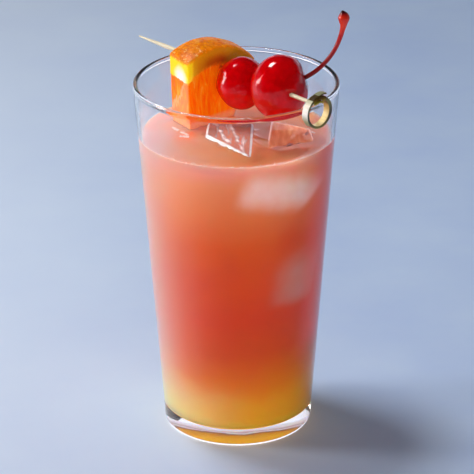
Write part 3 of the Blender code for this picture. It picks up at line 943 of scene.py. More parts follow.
# %% Bubbles, blown into the drink as it was poured
# The film has water's IOR, 1.33, and is as smooth as the surface of a still liquid.
bubble_skin, tree = new_finish("bubble_skin", {
    "Roughness": 0.05, "IOR": 1.33, "Transmission Weight": 0.15})
tint = add(tree, "TexNoise", {"Vector": add(tree, "TexCoord", out="Object"), "Scale": per(3 * MM)})
tint = add(tree, "ValToRGB", {"Fac": tint}, stops=((0.3, "#f6dcd6"), (0.7, "#fff8f6")))
paint(bubble_skin, Base_Color=tint)
bm = bmesh.new()
for centre, size in spots:
    bmesh.ops.create_icosphere(bm, subdivisions=2, radius=size,
                               matrix=Matrix.Translation(centre))
bubble_mesh = bpy.data.meshes.new("bubbles")
bm.to_mesh(bubble_mesh)
bm.free()
bubble_mesh.shade_smooth()
bubbles = show(put("bubbles", bubble_mesh), [bubble_skin], "mixed_drink")
bubbles.visible_shadow = False

# %% [markdown]
# The orange is a thick slice cut down to a chunk. Its rind is full of oil pores, its pith is
# spongy, and its flesh is packed with juice sacs that point at the middle of the fruit. The
# copy of the solid is moved into the orange's own space, with Z along its core, so that radius
# and angle tell rind, pith and flesh apart, for its relief here and for its colours below.

# %% Relief of the orange
RIND_EDGE = 29.6 * MM
FLESH_EDGE = 22.4 * MM
FACES_OUT = 0.35
PORE_SPACING = 1.7 * MM
PORE_DEPTH = 0.26 * MM
# A pore's half width, as a share of the spacing
PORE_WIDTH = 0.33
SAC_WIDTH = 1.7 * MM
SAC_LENGTH = 7.0 * MM
SAC_HEIGHT = 0.16 * MM
FLESH_SHRINKS = 0.15 * MM


def orange_relief(place, normal):
    """Pores in the rind, and rounded sacs and a shallow rim of pith on the cut faces."""
    radius = math.hypot(place.x, place.y)
    outward = (normal.x * place.x + normal.y * place.y) / max(radius, MM)
    if radius > RIND_EDGE - 0.4 * MM and outward > FACES_OUT:
        near = noise.voronoi(place / PORE_SPACING)[0][0]
        lumps = uneven(place, size=5 * MM, middle=0.0, swing=0.10 * MM)
        return lumps - PORE_DEPTH * math.exp(-(near / PORE_WIDTH) ** 2)
    if radius > FLESH_EDGE:
        return uneven(place, size=1.2 * MM, middle=0.0, swing=0.06 * MM)
    angle = math.atan2(place.x, place.y)
    sac = Vector((radius / SAC_LENGTH, angle * radius / SAC_WIDTH, place.z / SAC_WIDTH))
    edge = noise.voronoi(sac)[0]
    return SAC_HEIGHT * (min(edge[1] - edge[0], 0.5) - 0.3) - FLESH_SHRINKS


print("sacs of", in_mm(SAC_WIDTH, SAC_LENGTH), "mm, pores every", in_mm(PORE_SPACING), "mm")

# %% [markdown]
# The pick goes through the chunk, and wet flesh grips it. The solid has a hole that is a
# little wide, so the corners round the hole are drawn in until they touch the pick.

# %% Form of the orange
ORANGE_CENTRE = (-3.4 * MM, -20.7 * MM)
ORANGE_MIDDLE = -19.8 * MM
ORANGE_VOXEL = 0.26 * MM
WORN_STEPS = 18
GRIP = 0.1 * MM
HOLE_REACH = 0.6 * MM
orange_place = at_pick(*ORANGE_CENTRE, ORANGE_MIDDLE)
orange_mesh = remeshed("orange", copy_of("orange_slice", orange_place), ORANGE_VOXEL,
                       softening=WORN_STEPS)
push(orange_mesh, orange_relief)
pick_axis = Vector((-ORANGE_CENTRE[0], -ORANGE_CENTRE[1]))
for vertex in orange_mesh.vertices:
    off_axis = vertex.co.xy - pick_axis
    if off_axis.length < PICK_RADIUS + HOLE_REACH:
        vertex.co.xy = pick_axis + off_axis.normalized() * (PICK_RADIUS - GRIP)
orange = put("orange", orange_mesh, orange_place)
print("orange's core is", in_mm(pick_axis.length), "mm from the pick")

# %% [markdown]
# Fresh orange, cut a while ago: its flesh lets light through, so it glows even on its shaded
# side, and juice lies on it as a thin clear coat. The flesh's streaks follow the sacs: radius,
# the way round, and depth are each divided by a sac's size, and one noise of scale 1 does the
# rest.

# %% Fresh orange, sliced with a knife: its flesh
# Fruit is mostly water and sugar, so its IOR is near 1.4; the body of it is dull, and what
# shines is the wet coat, which is nearly smooth.
FLESH_GLOW = 4 * MM
citrus, tree = new_finish("fresh_orange", {
    "Roughness": 0.42,
    "IOR": 1.42,
    "Specular IOR Level": 0.06,
    "Subsurface Weight": 1.0,
    "Subsurface Radius": (1.0, 0.45, 0.12),
    "Subsurface Scale": FLESH_GLOW,
    "Coat Roughness": 0.05,
    # The emission is a painted glow over the whole chunk, rind and pith too, for light that comes
    # through the flesh
    "Emission Strength": 0.22,
})
place = add(tree, "TexCoord", out="Object")
parts = add(tree, "SeparateXYZ", {0: place}).node.outputs
flat = add(tree, "VectorMath", {0: place, 1: (1.0, 1.0, 0.0)}, operation="MULTIPLY")
radius = add(tree, "VectorMath", {0: flat}, out="Value", operation="LENGTH")
angle = add(tree, "Math", {0: parts["X"], 1: parts["Y"]}, operation="ARCTAN2")
around = add(tree, "Math", {0: angle, 1: radius}, operation="MULTIPLY")
sac_place = add(tree, "CombineXYZ", {0: radius, 1: around, 2: parts["Z"]})
sac_scale = (per(SAC_LENGTH), per(SAC_WIDTH), per(SAC_WIDTH))
sac_place = add(tree, "VectorMath", {0: sac_place, 1: sac_scale}, operation="MULTIPLY")
streak = add(tree, "TexNoise", {"Vector": sac_place, "Scale": 1.0, "Detail": 2.0,
                                "Distortion": 0.6})
flesh = add(tree, "ValToRGB", {"Fac": streak}, stops=(
    (0.28, "#f25800"), (0.46, "#ff7004"), (0.62, "#ff840c"), (0.80, "#ffac40")))
print("flesh glows", in_mm(FLESH_GLOW), "mm deep")

# %% [markdown]
# The left cut goes across the sacs, where the membrane between two segments shows as a pale
# slanting line, and the sacs below it have lost some of their juice.

# %% Membrane on the left cut
MEMBRANE_SLANT = (0.0, 0.62, -0.785)
MEMBRANE_PLACE = 7.2 * MM
MEMBRANE_DRIFT = 4.5 * MM
slope = add(tree, "VectorMath", {0: place, 1: MEMBRANE_SLANT}, out="Value",
            operation="DOT_PRODUCT")
drift = add(tree, "MapRange", {"Value": streak, "To Min": -MEMBRANE_DRIFT,
                               "To Max": MEMBRANE_DRIFT})
slope = add(tree, "Math", {0: slope, 1: drift}, operation="ADD")
off_membrane = add(tree, "Math", {0: slope, 1: MEMBRANE_PLACE}, operation="SUBTRACT")
off_membrane = add(tree, "Math", {0: off_membrane}, operation="ABSOLUTE")
membrane = add(tree, "MapRange", {"Value": off_membrane, "From Min": 1.5 * MM,
                                  "From Max": 0.5 * MM, "To Max": 0.55}, **SOFTLY)
dry_sacs = add(tree, "MapRange", {"Value": slope, "From Min": MEMBRANE_PLACE,
                                  "From Max": 5.6 * MM, "To Max": 0.3}, **SOFTLY)
peach = add(tree, "Math", {0: dry_sacs, 1: membrane}, operation="MAXIMUM")
on_left = add(tree, "MapRange", {"Value": parts["X"], "From Min": -11.2 * MM,
                                 "From Max": -11.9 * MM}, **SOFTLY)
behind = add(tree, "MapRange", {"Value": parts["Z"], "From Min": 6.4 * MM,
                                "From Max": 5.0 * MM}, **SOFTLY)
peach = add(tree, "Math", {0: peach, 1: on_left}, operation="MULTIPLY")
peach = add(tree, "Math", {0: peach, 1: behind}, operation="MULTIPLY")
flesh = add(tree, "Mix", {0: peach, 6: flesh, 7: linear("#f9b994")}, **OF_COLOURS)
print("membrane", in_mm(MEMBRANE_PLACE), "mm up the left cut")

# %% [markdown]
# The rind is waxy, deep orange with darker and paler specks. The relief above has its larger
# pores. On the side that turns to the window, small pale dots are painted glints: highlights
# where its fine oil glands, which lie under the skin, would catch the light.

# %% Waxed rind, with painted glints
# The glints are drawn at the size of real oil glands, which are half a millimetre to a
# millimetre across; the larger size is drawn, because the smaller ones would not show.
SPECK_SIZE = 1.6 * MM
GLAND_SIZE = 1.0 * MM
speckle = add(tree, "TexNoise", {"Vector": place, "Scale": per(SPECK_SIZE), "Detail": 3.0})
rind = add(tree, "ValToRGB", {"Fac": speckle}, stops=(
    (0.32, "#d46200"), (0.55, "#e67e02"), (0.75, "#f29c18")))
# Painted glints: pale dots on the side towards the window
glands = add(tree, "TexNoise", {"Vector": place, "Scale": per(GLAND_SIZE), "Detail": 1.0})
glands = add(tree, "MapRange", {"Value": glands, "From Min": 0.61, "From Max": 0.72,
                                "To Max": 0.65}, **SOFTLY)
to_window = add(tree, "MapRange", {"Value": parts["X"], "From Min": 4.0 * MM,
                                   "From Max": -13.0 * MM}, **SOFTLY)
glands = add(tree, "Math", {0: glands, 1: to_window}, operation="MULTIPLY")
rind = add(tree, "Mix", {0: glands, 6: rind, 7: linear("#ffdc86")}, **OF_COLOURS)
print("specks of", in_mm(SPECK_SIZE), "mm and oil glands of", in_mm(GLAND_SIZE), "mm")

# %% [markdown]
# The pith is white in the middle of its band, and yellow where oil from the rind has run in:
# under the rind, and at the two cut edges. Both are distances, so two fades are enough, and
# they stay in place however the piece is turned.

# %% White pith
to_corner = add(tree, "Math", {0: parts["Z"], 1: 1.0 * MM}, operation="SUBTRACT")
to_corner = add(tree, "Math", {0: to_corner}, operation="ABSOLUTE")
yellow_side = add(tree, "MapRange", {"Value": to_corner, "From Min": 0.8 * MM,
                                     "From Max": 6.0 * MM}, **SOFTLY)
yellow_top = add(tree, "MapRange", {"Value": radius, "From Min": RIND_EDGE - 5.5 * MM,
                                    "From Max": RIND_EDGE - 0.5 * MM}, **SOFTLY)
yellow = add(tree, "Math", {0: yellow_side, 1: yellow_top}, operation="ADD")
pith = add(tree, "Mix", {0: yellow, 6: linear("#fffdf0"), 7: linear("#f4dc22")}, **OF_COLOURS)
print("pith is", in_mm(RIND_EDGE - FLESH_EDGE), "mm thick")

# %% [markdown]
# On the face next to the cherries the pith lies in shadow, so it is painted in shade: amber and
# brown, warmed by light that comes through the flesh, and redder next to the cherries. The line
# between flesh and pith is crisp on the left cut and blurred on the shaded face. A second
# material there would end in a hard line, so the shaded colour is mixed in by depth.

# %% Pith in painted shade
ORANGE_HALF = 6.6 * MM
across = add(tree, "MapRange", {"Value": parts["X"], "From Min": -12 * MM, "From Max": 14 * MM})
# Painted shade: amber to brown across the face, redder next to the cherries
soaked = add(tree, "ValToRGB", {"Fac": across}, stops=(
    (0.0, "#dcb024"), (0.14, "#cc8414"), (0.34, "#b0540e"), (0.62, "#aa3e10"), (0.85, "#b8780f")))
under_rind = add(tree, "Math", {0: yellow_top, 1: 0.7}, operation="MULTIPLY")
soaked = add(tree, "Mix", {0: under_rind, 6: soaked, 7: linear("#d8940c")}, **OF_COLOURS)
front = add(tree, "MapRange", {"Value": parts["Z"], "From Min": ORANGE_HALF - 1.6 * MM,
                               "From Max": ORANGE_HALF - 0.4 * MM}, **SOFTLY)
off_left = add(tree, "MapRange", {"Value": parts["X"], "From Min": -12.4 * MM,
                                  "From Max": -10.6 * MM}, **SOFTLY)
front = add(tree, "Math", {0: front, 1: off_left}, operation="MULTIPLY")
pith = add(tree, "Mix", {0: front, 6: pith, 7: soaked}, **OF_COLOURS)
softness = add(tree, "MapRange", {"Value": front, "To Min": 0.5 * MM, "To Max": 1.7 * MM})
print("soaked face is", in_mm(ORANGE_HALF), "mm in front of the slice's middle")

# %% [markdown]
# Flesh, pith and rind now meet at their radii. The borders wobble by a millimetre, since no
# fruit is perfectly round. Near the drink everything is tinted by the light that comes up from
# it. A fine bump stands for the smallest pimples and sacs, which are too small for the mesh.

# %% Flesh, pith and rind together
wobble = add(tree, "MapRange", {"Value": speckle, "To Min": -1.0 * MM, "To Max": 1.0 * MM})
edge_radius = add(tree, "Math", {0: radius, 1: wobble}, operation="ADD")
past_flesh = add(tree, "Math", {0: edge_radius, 1: FLESH_EDGE}, operation="SUBTRACT")
past_flesh = add(tree, "Math", {0: past_flesh, 1: softness}, operation="DIVIDE")
is_pith = add(tree, "MapRange", {"Value": past_flesh, "From Min": -1.0, "From Max": 1.0}, **SOFTLY)
is_rind = add(tree, "MapRange", {"Value": edge_radius, "From Min": RIND_EDGE - 0.9 * MM,
                                 "From Max": RIND_EDGE + 0.5 * MM}, **SOFTLY)
near_drink = add(tree, "MapRange", {"Value": parts["Y"], "From Min": 2.0 * MM,
                                    "From Max": -0.5 * MM, "To Max": 0.5}, **SOFTLY)
skin = add(tree, "Mix", {0: is_pith, 6: flesh, 7: pith}, **OF_COLOURS)
skin = add(tree, "Mix", {0: is_rind, 6: skin, 7: rind}, **OF_COLOURS)
skin = add(tree, "Mix", {0: near_drink, 6: skin, 7: linear("#f6ac88")}, **OF_COLOURS)
wet = add(tree, "MapRange", {"Value": is_rind, "To Min": 0.18, "To Max": 0.34})
pimples = add(tree, "TexNoise", {"Vector": place, "Scale": per(1.1 * MM), "Detail": 2.0})
bumpy = add(tree, "Bump", {"Height": pimples, "Strength": 0.8, "Distance": 0.35 * MM})
paint(citrus, Base_Color=skin, Emission_Color=skin, Coat_Weight=wet, Normal=bumpy,
      Coat_Normal=bumpy)
show(orange, [citrus], "orange", "orange_slice")

# %% [markdown]
# Cocktail cherries are bleached, dyed and kept in syrup, so they are an even deep red and very
# glossy, and they let some light into their flesh. Their skin is puckered from the syrup, which
# breaks up every highlight, so the bump goes to the coat as well.

# %% Maraschino cherry, pickled in syrup
# The flesh has the IOR of sugared fruit, 1.4. The syrup is the coat: almost mirror-smooth.
# Real puckers are about a millimetre wide; they are drawn at 2.6 mm, where they still show.
maraschino, tree = new_finish("maraschino_cherry", {
    "Roughness": 0.12,
    "IOR": 1.40,
    "Specular IOR Level": 0.05,
    "Subsurface Weight": 0.7,
    "Subsurface Radius": (1.0, 0.08, 0.06),
    "Subsurface Scale": 5 * MM,
    "Coat Weight": 0.8,
    "Coat Roughness": 0.02,
})
place = add(tree, "TexCoord", out="Object")
mottle = add(tree, "TexNoise", {"Vector": place, "Scale": per(4 * MM), "Detail": 3.0})
red = add(tree, "ValToRGB", {"Fac": mottle}, stops=((0.35, "#c40004"), (0.7, "#da0008")))
puckers = add(tree, "TexNoise", {"Vector": place, "Scale": per(2.6 * MM), "Detail": 1.0})
puckered = add(tree, "Bump", {"Height": puckers, "Strength": 0.9, "Distance": 0.32 * MM})
paint(maraschino, Base_Color=red, Coat_Normal=puckered, Normal=puckered)

# %% [markdown]
# Each cherry is a ball pressed a little flat, with the dent where its stem grew and a small
# dent where the pick goes in. Both dents and the slow waves of the skin are pushed into a fine
# ball, which is quicker to aim than sculpting.

# %% Cherries
STEM_DENT = 1.6 * MM
STEM_DENT_SPREAD = 0.42
PICK_DENT = 0.5 * MM
PICK_DENT_SPREAD = 1.5 * MM
WAVE = 0.2 * MM
WAVE_SIZE = 5 * MM
# Each has its node, its centre and radii in millimetres, and the direction of its stem
CHERRIES = (
    ("cherry_back", (2.0, -4.4, -2.8), (10.8, 10.8, 10.0), (-0.35, -0.55, -0.50)),
    ("cherry_front", (3.5, -0.4, 18.4), (12.6, 13.2, 11.1), (0.763, 0.335, 0.553)),
)
for name, centre, radii, stem_direction in CHERRIES:
    centre = Vector(centre) * MM
    radii = Vector(radii) * MM
    towards_stem = Vector(stem_direction).normalized()
    bm = bmesh.new()
    bmesh.ops.create_icosphere(bm, subdivisions=6, radius=1.0)
    for vertex in bm.verts:
        unit = vertex.co.normalized()
        dent = STEM_DENT * math.exp(-(unit.angle(towards_stem) / STEM_DENT_SPREAD) ** 2)
        vertex.co = Vector(r * c for r, c in zip(radii, unit))
        off_pick = math.hypot(vertex.co.x + centre.x, vertex.co.y + centre.y)
        dent += PICK_DENT * math.exp(-(off_pick / PICK_DENT_SPREAD) ** 2)
        dent += WAVE * noise.noise(vertex.co / WAVE_SIZE + centre / MM)
        vertex.co -= vertex.co.normalized() * dent
    mesh = bpy.data.meshes.new(name)
    bm.to_mesh(mesh)
    bm.free()
    mesh.shade_smooth()
    show(put(name + "_fruit", mesh, at_pick(*centre)), [maraschino], "cherry", name)

# %% [markdown]
# The stem has soaked up the same dye. It is dark close to the fruit, lit through further up,
# and dried to nearly black at the knob's end. One ramp over its height paints all three, which
# is simpler than unwrapping so thin a piece and painting an image.

# %% Cherry stalk, dyed and dried
# Woody and smooth: IOR 1.45, roughness 0.28, with a thin dry film of syrup as its coat.
stalk, tree = new_finish("cherry_stalk", {
    "Roughness": 0.28, "IOR": 1.45, "Coat Weight": 0.4, "Coat Roughness": 0.1,
    "Specular IOR Level": 0.3,
    "Subsurface Weight": 0.3, "Subsurface Radius": (1.0, 0.1, 0.1), "Subsurface Scale": 1 * MM})
height = add(tree, "SeparateXYZ", {0: add(tree, "TexCoord", out="Object")}).node.outputs["Y"]
level = add(tree, "MapRange", {"Value": height, "From Min": 2 * MM, "From Max": 32 * MM})
stalk_colour = add(tree, "ValToRGB", {"Fac": level}, stops=(
    (0.0, "#700a08"), (0.40, "#980c10"), (0.62, "#bc1612"), (0.76, "#de3c20"), (0.90, "#d02614"),
    (0.95, "#3c0814")))
paint(stalk, Base_Color=stalk_colour)

# %% [markdown]
# The stem is a thin stalk that swells to a knob where it was picked. It could be lofted as the
# pick is below, but a curve with a round bevel draws it with fewer numbers, through the same
# points as the solid, and its thickness changes point by point.

# %% Stem
STEM_RADIUS = 0.92 * MM
# Each point is a place on the pick in millimetres, and how many times the radius it is thick
STEM_ROUTE = (
    ((10.0, 2.0, 22.8), 1.0),
    ((13.4, 4.2, 25.8), 1.0),
    ((17.0, 8.2, 28.9), 0.95),
    ((20.1, 13.6, 31.7), 0.95),
    ((21.9, 19.2, 33.3), 1.0),
    ((22.9, 24.2, 34.2), 1.15),
    ((23.1, 26.6, 34.2), 2.1),
    ((23.3, 28.3, 34.1), 2.75),
    ((22.9, 30.0, 34.0), 1.6),
    ((22.5, 31.0, 33.9), 0.5),
)
curve = bpy.data.curves.new("stem", "CURVE")
curve.dimensions = "3D"
spline = curve.splines.new("NURBS")
spline.points.add(len(STEM_ROUTE) - 1)
for point, (spot, thickness) in zip(spline.points, STEM_ROUTE):
    point.co = (*(c * MM for c in spot), 1.0)
    point.radius = thickness
spline.use_endpoint_u = True
spline.order_u = 3
spline.resolution_u = 16
curve.bevel_depth = STEM_RADIUS
curve.bevel_resolution = 6
curve.use_fill_caps = True
stem_mesh = evaluated(put("stem_curve", curve))
stem_mesh.shade_smooth()
show(put("stem", stem_mesh, pick_place), [stalk], "cherry", "cherry_front")

# %% [markdown]
# The pick is split bamboo, with its end left flat, bent into a ring and tied. Strip and shaft
# are both skins through rings of points: a lofted skin follows any route and any change of
# thickness, where an extruded profile would stay the same.

# %% Skins through rings of points
STRIP_ROUNDING = 0.22 * MM
STRIP_SHARP_EDGE = math.radians(50)


def loft(name, sections, closed=False):
    """A skin through rings of points, with end caps unless it closes on itself."""
    bm = bmesh.new()
    rings = [[bm.verts.new(p) for p in section] for section in sections]
    pairs = list(zip(rings, rings[1:])) + ([(rings[-1], rings[0])] if closed else [])
    for a, b in pairs:
        for i in range(len(a)):
            j = (i + 1) % len(a)
            bm.faces.new((a[i], a[j], b[j], b[i]))
    if not closed:
        bm.faces.new(rings[0][::-1])
        bm.faces.new(rings[-1])
    bmesh.ops.recalc_face_normals(bm, faces=bm.faces)
    mesh = bpy.data.meshes.new(name)
    bm.to_mesh(mesh)
    bm.free()
    mesh.shade_smooth()
    mesh.set_sharp_from_angle(angle=STRIP_SHARP_EDGE)
    print(name, "goes through", len(sections), "rings of points")
    return mesh


def strip_section(thickness, width):
    """A flat strip's section as (across, along) pairs with rounded corners."""
    points = []
    for quarter, (sx, sy) in enumerate(((1, 1), (-1, 1), (-1, -1), (1, -1))):
        centre = (sx * (thickness / 2 - STRIP_ROUNDING), sy * (width / 2 - STRIP_ROUNDING))
        points += arc(centre, STRIP_ROUNDING, 90 * quarter, 90 * quarter + 90, 4)
    return points


# %% [markdown]
# Bamboo is a bundle of long fibres. Single fibres could be modelled as hairs, but shaved smooth
# they only show as fine streaks, so a noise stretched along the pick stands for them. The
# colour also goes by height, because the ring stands upright: it is painted light and shade,
# lighter where the lamps reach the strip, and painted shade below and under the knot.

# %% Split bamboo, dried and left unvarnished
# Dry wood: IOR 1.5, and smooth but not polished, so roughness is 0.38. Real fibre bundles are
# about 0.2 mm wide; they are drawn at 0.5 mm, the finest that shows.
FIBRE_WIDTH = 0.5 * MM
FIBRE_SQUEEZE = 0.06
RING_RADIUS = 6.7 * MM
RING_CENTRE = (-0.1 * MM, -2.7 * MM)


def bamboo_finish(name, stops, specular=0.5):
    """Split bamboo with painted light and shade by height, and long fibres running along the pick.
    """
    finish, tree = new_finish(name, {"Roughness": 0.38, "IOR": 1.5,
                                     "Specular IOR Level": specular})
    place = add(tree, "TexCoord", out="Object")
    parts = add(tree, "SeparateXYZ", {0: place}).node.outputs
    fibre = add(tree, "Mapping", {"Vector": place, "Scale": (1.0, 1.0, FIBRE_SQUEEZE)})
    fibre = add(tree, "TexNoise", {"Vector": fibre, "Scale": per(FIBRE_WIDTH), "Detail": 3.0})
    fibre = add(tree, "MapRange", {"Value": fibre, "From Min": 0.45, "From Max": 0.75,
                                   "To Max": 0.35})
    level = add(tree, "MapRange", {"Value": parts["Y"], "From Min": RING_CENTRE[1] - RING_RADIUS,
                                   "From Max": RING_CENTRE[1] + RING_RADIUS})
    colour = add(tree, "ValToRGB", {"Fac": level}, stops=stops)
    colour = add(tree, "Mix", {0: fibre, 6: colour, 7: linear("#8f7c48")}, **OF_COLOURS)
    paint(finish, Base_Color=colour)
    return finish, colour, parts["Z"]


print("fibres of", in_mm(FIBRE_WIDTH), "by", in_mm(FIBRE_WIDTH / FIBRE_SQUEEZE), "mm")

# %% [markdown]
# A strip that is split off a cane keeps the cane's smooth greenish skin on its outer side, and
# shows straw-coloured wood on its inner side and dark fibres along its cut edges. Each side is
# painted darker at the top, as painted shade where the knot hangs over it. In the knot the strip
# lies in its own shade, which is painted as a finish of dark browns, and its shine goes. Each
# side is a finish of its own, and the faces are sorted by which way they look from the middle of
# the ring.

# %% Sides of the strip
outer_skin = bamboo_finish("bamboo_outer_skin", (
    (0.0, "#7d7f62"), (0.30, "#9a9c78"), (0.55, "#fff8f4"), (0.78, "#fff6e4"), (0.93, "#b9b88c"),
    (1.0, "#9a9c74")))[0]
inner_wood = bamboo_finish("bamboo_inner_wood", (
    (0.0, "#e8cf90"), (0.30, "#ecd08a"), (0.62, "#c89c58"), (0.74, "#5a3a12"), (1.0, "#3a2408")))[0]
cut_edge = bamboo_finish("bamboo_cut_edge", (
    (0.0, "#8a7c3c"), (0.20, "#504a2e"), (0.38, "#34333a"), (0.58, "#66664a"), (0.78, "#77774c"),
    (0.90, "#47300e")))[0]
deep_in_knot = bamboo_finish("bamboo_deep_in_the_knot", (
    (0.78, "#b0a048"), (0.85, "#8f8428"), (0.90, "#5e420c"), (0.97, "#3a2400")), specular=0.1)[0]
STRIP_SIDES = [outer_skin, inner_wood, cut_edge]


def sort_strip_faces(mesh, centre):
    """Tells a bent strip's outer side (0), inner side (1) and cut edges (2) apart."""
    for face in mesh.polygons:
        out = (face.center - centre).xy.normalized()
        facing = face.normal.xy.dot(out)
        face.material_index = 0 if facing > 0.6 else 1 if facing < -0.6 else 2


# %% [markdown]
# The shaft is shaved round and pointed at its far end. Juice has stained it beside the orange,
# and syrup has dyed it red between the cherries. Each stain is a fade in and a fade out along
# the pick, and their product is the stretch between them.

# %% Shaft of the pick
PICK_TIP = -64.6 * MM
PICK_POINT_LENGTH = 16 * MM
RING_WIDTH = 3.2 * MM
ring_place = outer_wall(GLASS_HEIGHT - RIM_BEAD) + 2.2 * MM
# A stain has its colour, and where along the pick it begins, is full, fades and ends
STAINS = (("#f0701c", -14.5, -13.5, -12.0, -9.0), ("#9c0408", 4.0, 5.5, 9.5, 11.0))
SHAFT = (
    (PICK_TIP, 0.3 * MM), (PICK_TIP + PICK_POINT_LENGTH, PICK_RADIUS), (0.0, PICK_RADIUS),
    (ring_place - RING_WIDTH / 2, PICK_RADIUS - 0.15 * MM),
)
shaved, colour, run = bamboo_finish("shaved_bamboo", ((0.55, "#a89a62"), (0.70, "#f4e8c8")))
tree = shaved.node_tree
for stain, begins, full, fades, ends in STAINS:
    coming = add(tree, "MapRange", {"Value": run, "From Min": begins * MM,
                                    "From Max": full * MM}, **SOFTLY)
    going = add(tree, "MapRange", {"Value": run, "From Min": ends * MM,
                                   "From Max": fades * MM}, **SOFTLY)
    stained = add(tree, "Math", {0: coming, 1: going}, operation="MULTIPLY")
    colour = add(tree, "Mix", {0: stained, 6: colour, 7: linear(stain)}, **OF_COLOURS)
paint(shaved, Base_Color=colour)
shaft = [[(x, y, z) for x, y in arc((0, 0), radius, 0, 345, 24)] for z, radius in SHAFT]
show(put("pick_shaft", loft("pick_shaft", shaft), pick_place), [shaved], "bamboo", "bamboo_pick")

# %% [markdown]
# The ring hangs outside the rim. It is the same strip, bent while it was steamed, and thicker
# on the side where its two ends lie on each other. A torus has one thickness all round, so the
# ring is lofted through sections that grow towards that side.

# %% Ring
RING_THICKNESS = 1.15 * MM
RING_THICKENING = 0.6 * MM
RING_STEPS = 96
ring_middle = Vector((*RING_CENTRE, ring_place))
ring = []
for step in range(RING_STEPS):
    angle = 2 * math.pi * step / RING_STEPS
    out = Vector((math.cos(angle), math.sin(angle), 0.0))
    thickness = RING_THICKNESS + RING_THICKENING * max(math.cos(angle), 0.0)
    middle = ring_middle + out * (RING_RADIUS - thickness / 2)
    ring.append([middle + out * a + Vector((0.0, 0.0, b))
                 for a, b in strip_section(thickness, RING_WIDTH)])
ring_mesh = loft("pick_ring", ring, closed=True)
show(put("pick_ring", ring_mesh, pick_place), STRIP_SIDES, "bamboo", "bamboo_pick")
sort_strip_faces(ring_mesh, ring_middle)

# %% [markdown]
# The knot is the strip's end: it arches over the ring, wraps round the shaft and is tucked
# back in. Each turn is a short bent strip of its own, because one strip with that many tight
# bends would cut through itself.

# %% Strips of the knot
def bent_strip(name, route, thickness, width, finishes):
    """A flat strip along (across, up, along the pick) points given in millimetres."""
    spots = [Vector(spot) * MM + Vector((0.0, 0.0, ring_place)) for spot in route]
    sections = []
    for index, spot in enumerate(spots):
        before, after = spots[max(index - 1, 0)], spots[min(index + 1, len(spots) - 1)]
        side = Vector((0.0, 0.0, 1.0))
        out = (after - before).cross(side).normalized()
        sections.append([spot + out * a + side * b for a, b in strip_section(thickness, width)])
    mesh = loft(name, sections)
    show(put(name, mesh, pick_place), finishes, "bamboo", "bamboo_pick")
    if len(finishes) > 1:
        sort_strip_faces(mesh, ring_middle)


ARCH = [(3.6 - 1.1 * i, 4.5 - 0.085 * (i - 1.5) ** 2, 0.0) for i in range(7)]
WRAP = [(-3.4 + 0.9 * i, 2.3 + 0.09 * i * (7 - i), 0.3) for i in range(8)]
TUCK = [(-3.0, 1.4, 1.7), (-1.9, 1.9, 1.8), (-0.7, 2.1, 1.8), (0.5, 1.8, 1.6), (1.4, 1.2, 1.3)]
bent_strip("pick_arch", ARCH, 0.6 * MM, 2.8 * MM, STRIP_SIDES)
# The wrap is thick and, like the tuck, takes the finish in painted shade: together they fill the
# dark gap under the arch
bent_strip("pick_wrap", WRAP, 1.9 * MM, 2.8 * MM, [deep_in_knot])
bent_strip("pick_tuck", TUCK, 0.9 * MM, 1.3 * MM, [deep_in_knot])

# %% [markdown]
# The drink stands on a plain pale floor: a board rolled with thin matt paint, uneven where the
# roller went over it, and painted lighter on the window's side, as painted light. It is one wide
# face, so that no horizon shows behind the glass, and it is a stage only: it isn't part of the
# drink.

# %% Painted board, rolled and matt
# Matt emulsion scatters nearly all light, so roughness is 0.75. A roller leaves a fine stipple,
# too fine to show from here, so only the wide clouds of thick and thin paint are drawn.
FLOOR_HALF = 4.0
FLOOR_DROP = 0.25 * MM
CLOUD_OF_PAINT = 60 * MM
painted, tree = new_finish("painted_board", {"Roughness": 0.75, "Emission Strength": 0.07})
place = add(tree, "TexCoord", out="Object")
cloud = add(tree, "TexNoise", {"Vector": place, "Scale": per(CLOUD_OF_PAINT), "Detail": 4.0})
coat_of_paint = add(tree, "ValToRGB", {"Fac": cloud}, stops=((0.3, "#bed4f8"), (0.7, "#cadffd")))
across = add(tree, "SeparateXYZ", {0: place}).node.outputs["X"]
# Painted light: the board is lighter towards the window
window_side = add(tree, "MapRange", {"Value": across, "From Min": 0.08, "From Max": -0.16,
                                     "To Max": 0.6}, **SOFTLY)
coat_of_paint = add(tree, "Mix", {0: window_side, 6: coat_of_paint, 7: linear("#e4f0ff")},
                    **OF_COLOURS)
paint(painted, Base_Color=coat_of_paint, Emission_Color=coat_of_paint)
bm = bmesh.new()
bmesh.ops.create_grid(bm, x_segments=1, y_segments=1, size=FLOOR_HALF,
                      matrix=Matrix.Translation((0.0, 0.0, -FLOOR_DROP)))
floor_mesh = bpy.data.meshes.new("floor")
bm.to_mesh(floor_mesh)
bm.free()
floor = put("floor", floor_mesh)
floor.data.materials.append(painted)

# %% [markdown]
# A large soft window at the left, a little behind the glass, is the main light, with a softbox
# overhead and a broad fill from the front. The backdrop only lights what is seen through the
# glass. A lamp's strength is given as how bright its face looks, so that its size can change
# without changing the look: the energy follows from the area of the oval.

# %% Lights
AIM_HEIGHT = GLASS_HEIGHT * 0.6


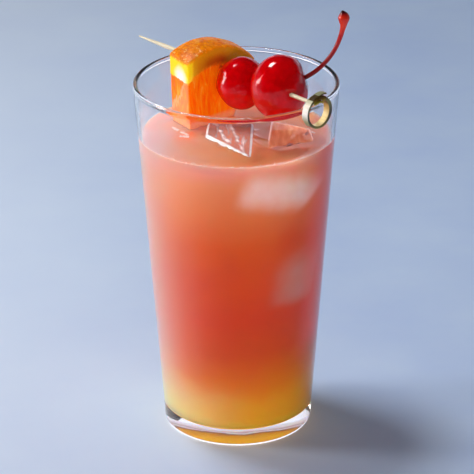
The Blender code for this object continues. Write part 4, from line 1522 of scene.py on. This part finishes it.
def soft_light(name, direction, distance, width, height, radiance, colour):
    """A soft oval light that looks at the middle of the drink."""
    light = bpy.data.lights.new(name, "AREA")
    light.shape = "ELLIPSE"
    light.size = width
    light.size_y = height
    oval = math.pi / 4 * width * height
    light.energy = radiance * math.pi * oval
    light.color = linear(colour)[:3]
    middle = Vector((0.0, 0.0, AIM_HEIGHT))
    towards = Vector(direction).normalized()
    lamp = put(name, light)
    lamp.matrix_world = (Matrix.Translation(middle + towards * distance)
                         @ towards.to_track_quat("Z", "Y").to_matrix().to_4x4())
    print(name, "gives", round(light.energy, 2), "W")
    return lamp


soft_light("window", (-0.93, 0.06, 0.30), distance=1.0, width=0.27, height=0.52,
           radiance=12.7, colour="#fffaf4")
soft_light("softbox", (-0.30, 0.22, 0.93), distance=0.95, width=0.27, height=0.26,
           radiance=28.0, colour="#fbfcff")
fill = soft_light("fill", (0.02, -0.99, 0.05), distance=1.4, width=1.4, height=0.45,
                  radiance=7.4, colour="#fff4ea")
fill.visible_glossy = False
fill.visible_camera = False
fill.visible_transmission = False
backdrop = soft_light("backdrop", (-0.20, 0.90, 0.36), distance=3.0, width=34.0, height=2.4,
                      radiance=1.15, colour="#f2f2ff")
backdrop.visible_glossy = False
backdrop.visible_camera = False
backdrop.visible_diffuse = False

# %% [markdown]
# The sky fills the shadows. It is pale low down at the back, where the room's wall would be,
# and dark elsewhere, so that the glass's edges stand out. An evenly pale sky would light the
# scene as well, but clear glass would then have no dark lines and hardly show.

# %% Sky
sky = bpy.data.worlds.new("sky")
bpy.context.scene.world = sky
sky.use_nodes = True
tree = sky.node_tree
parts = add(tree, "SeparateXYZ", {0: add(tree, "TexCoord", out="Generated")}).node.outputs
behind = add(tree, "MapRange", {"Value": parts["Y"], "From Min": -0.6, "From Max": 0.2})
low = add(tree, "MapRange", {"Value": parts["Z"], "From Min": 0.40, "From Max": 0.05}, **SOFTLY)
pale = add(tree, "Math", {0: behind, 1: low}, operation="MULTIPLY")
shade = add(tree, "ValToRGB", {"Fac": pale}, stops=(
    (0.0, "#20252f"), (0.5, "#8391ad"), (1.0, "#dfe9fb")))
tree.links.new(shade, tree.nodes["Background"].inputs["Color"])
tree.nodes["Background"].inputs["Strength"].default_value = 1.0
print("sky has", len(tree.nodes), "nodes")
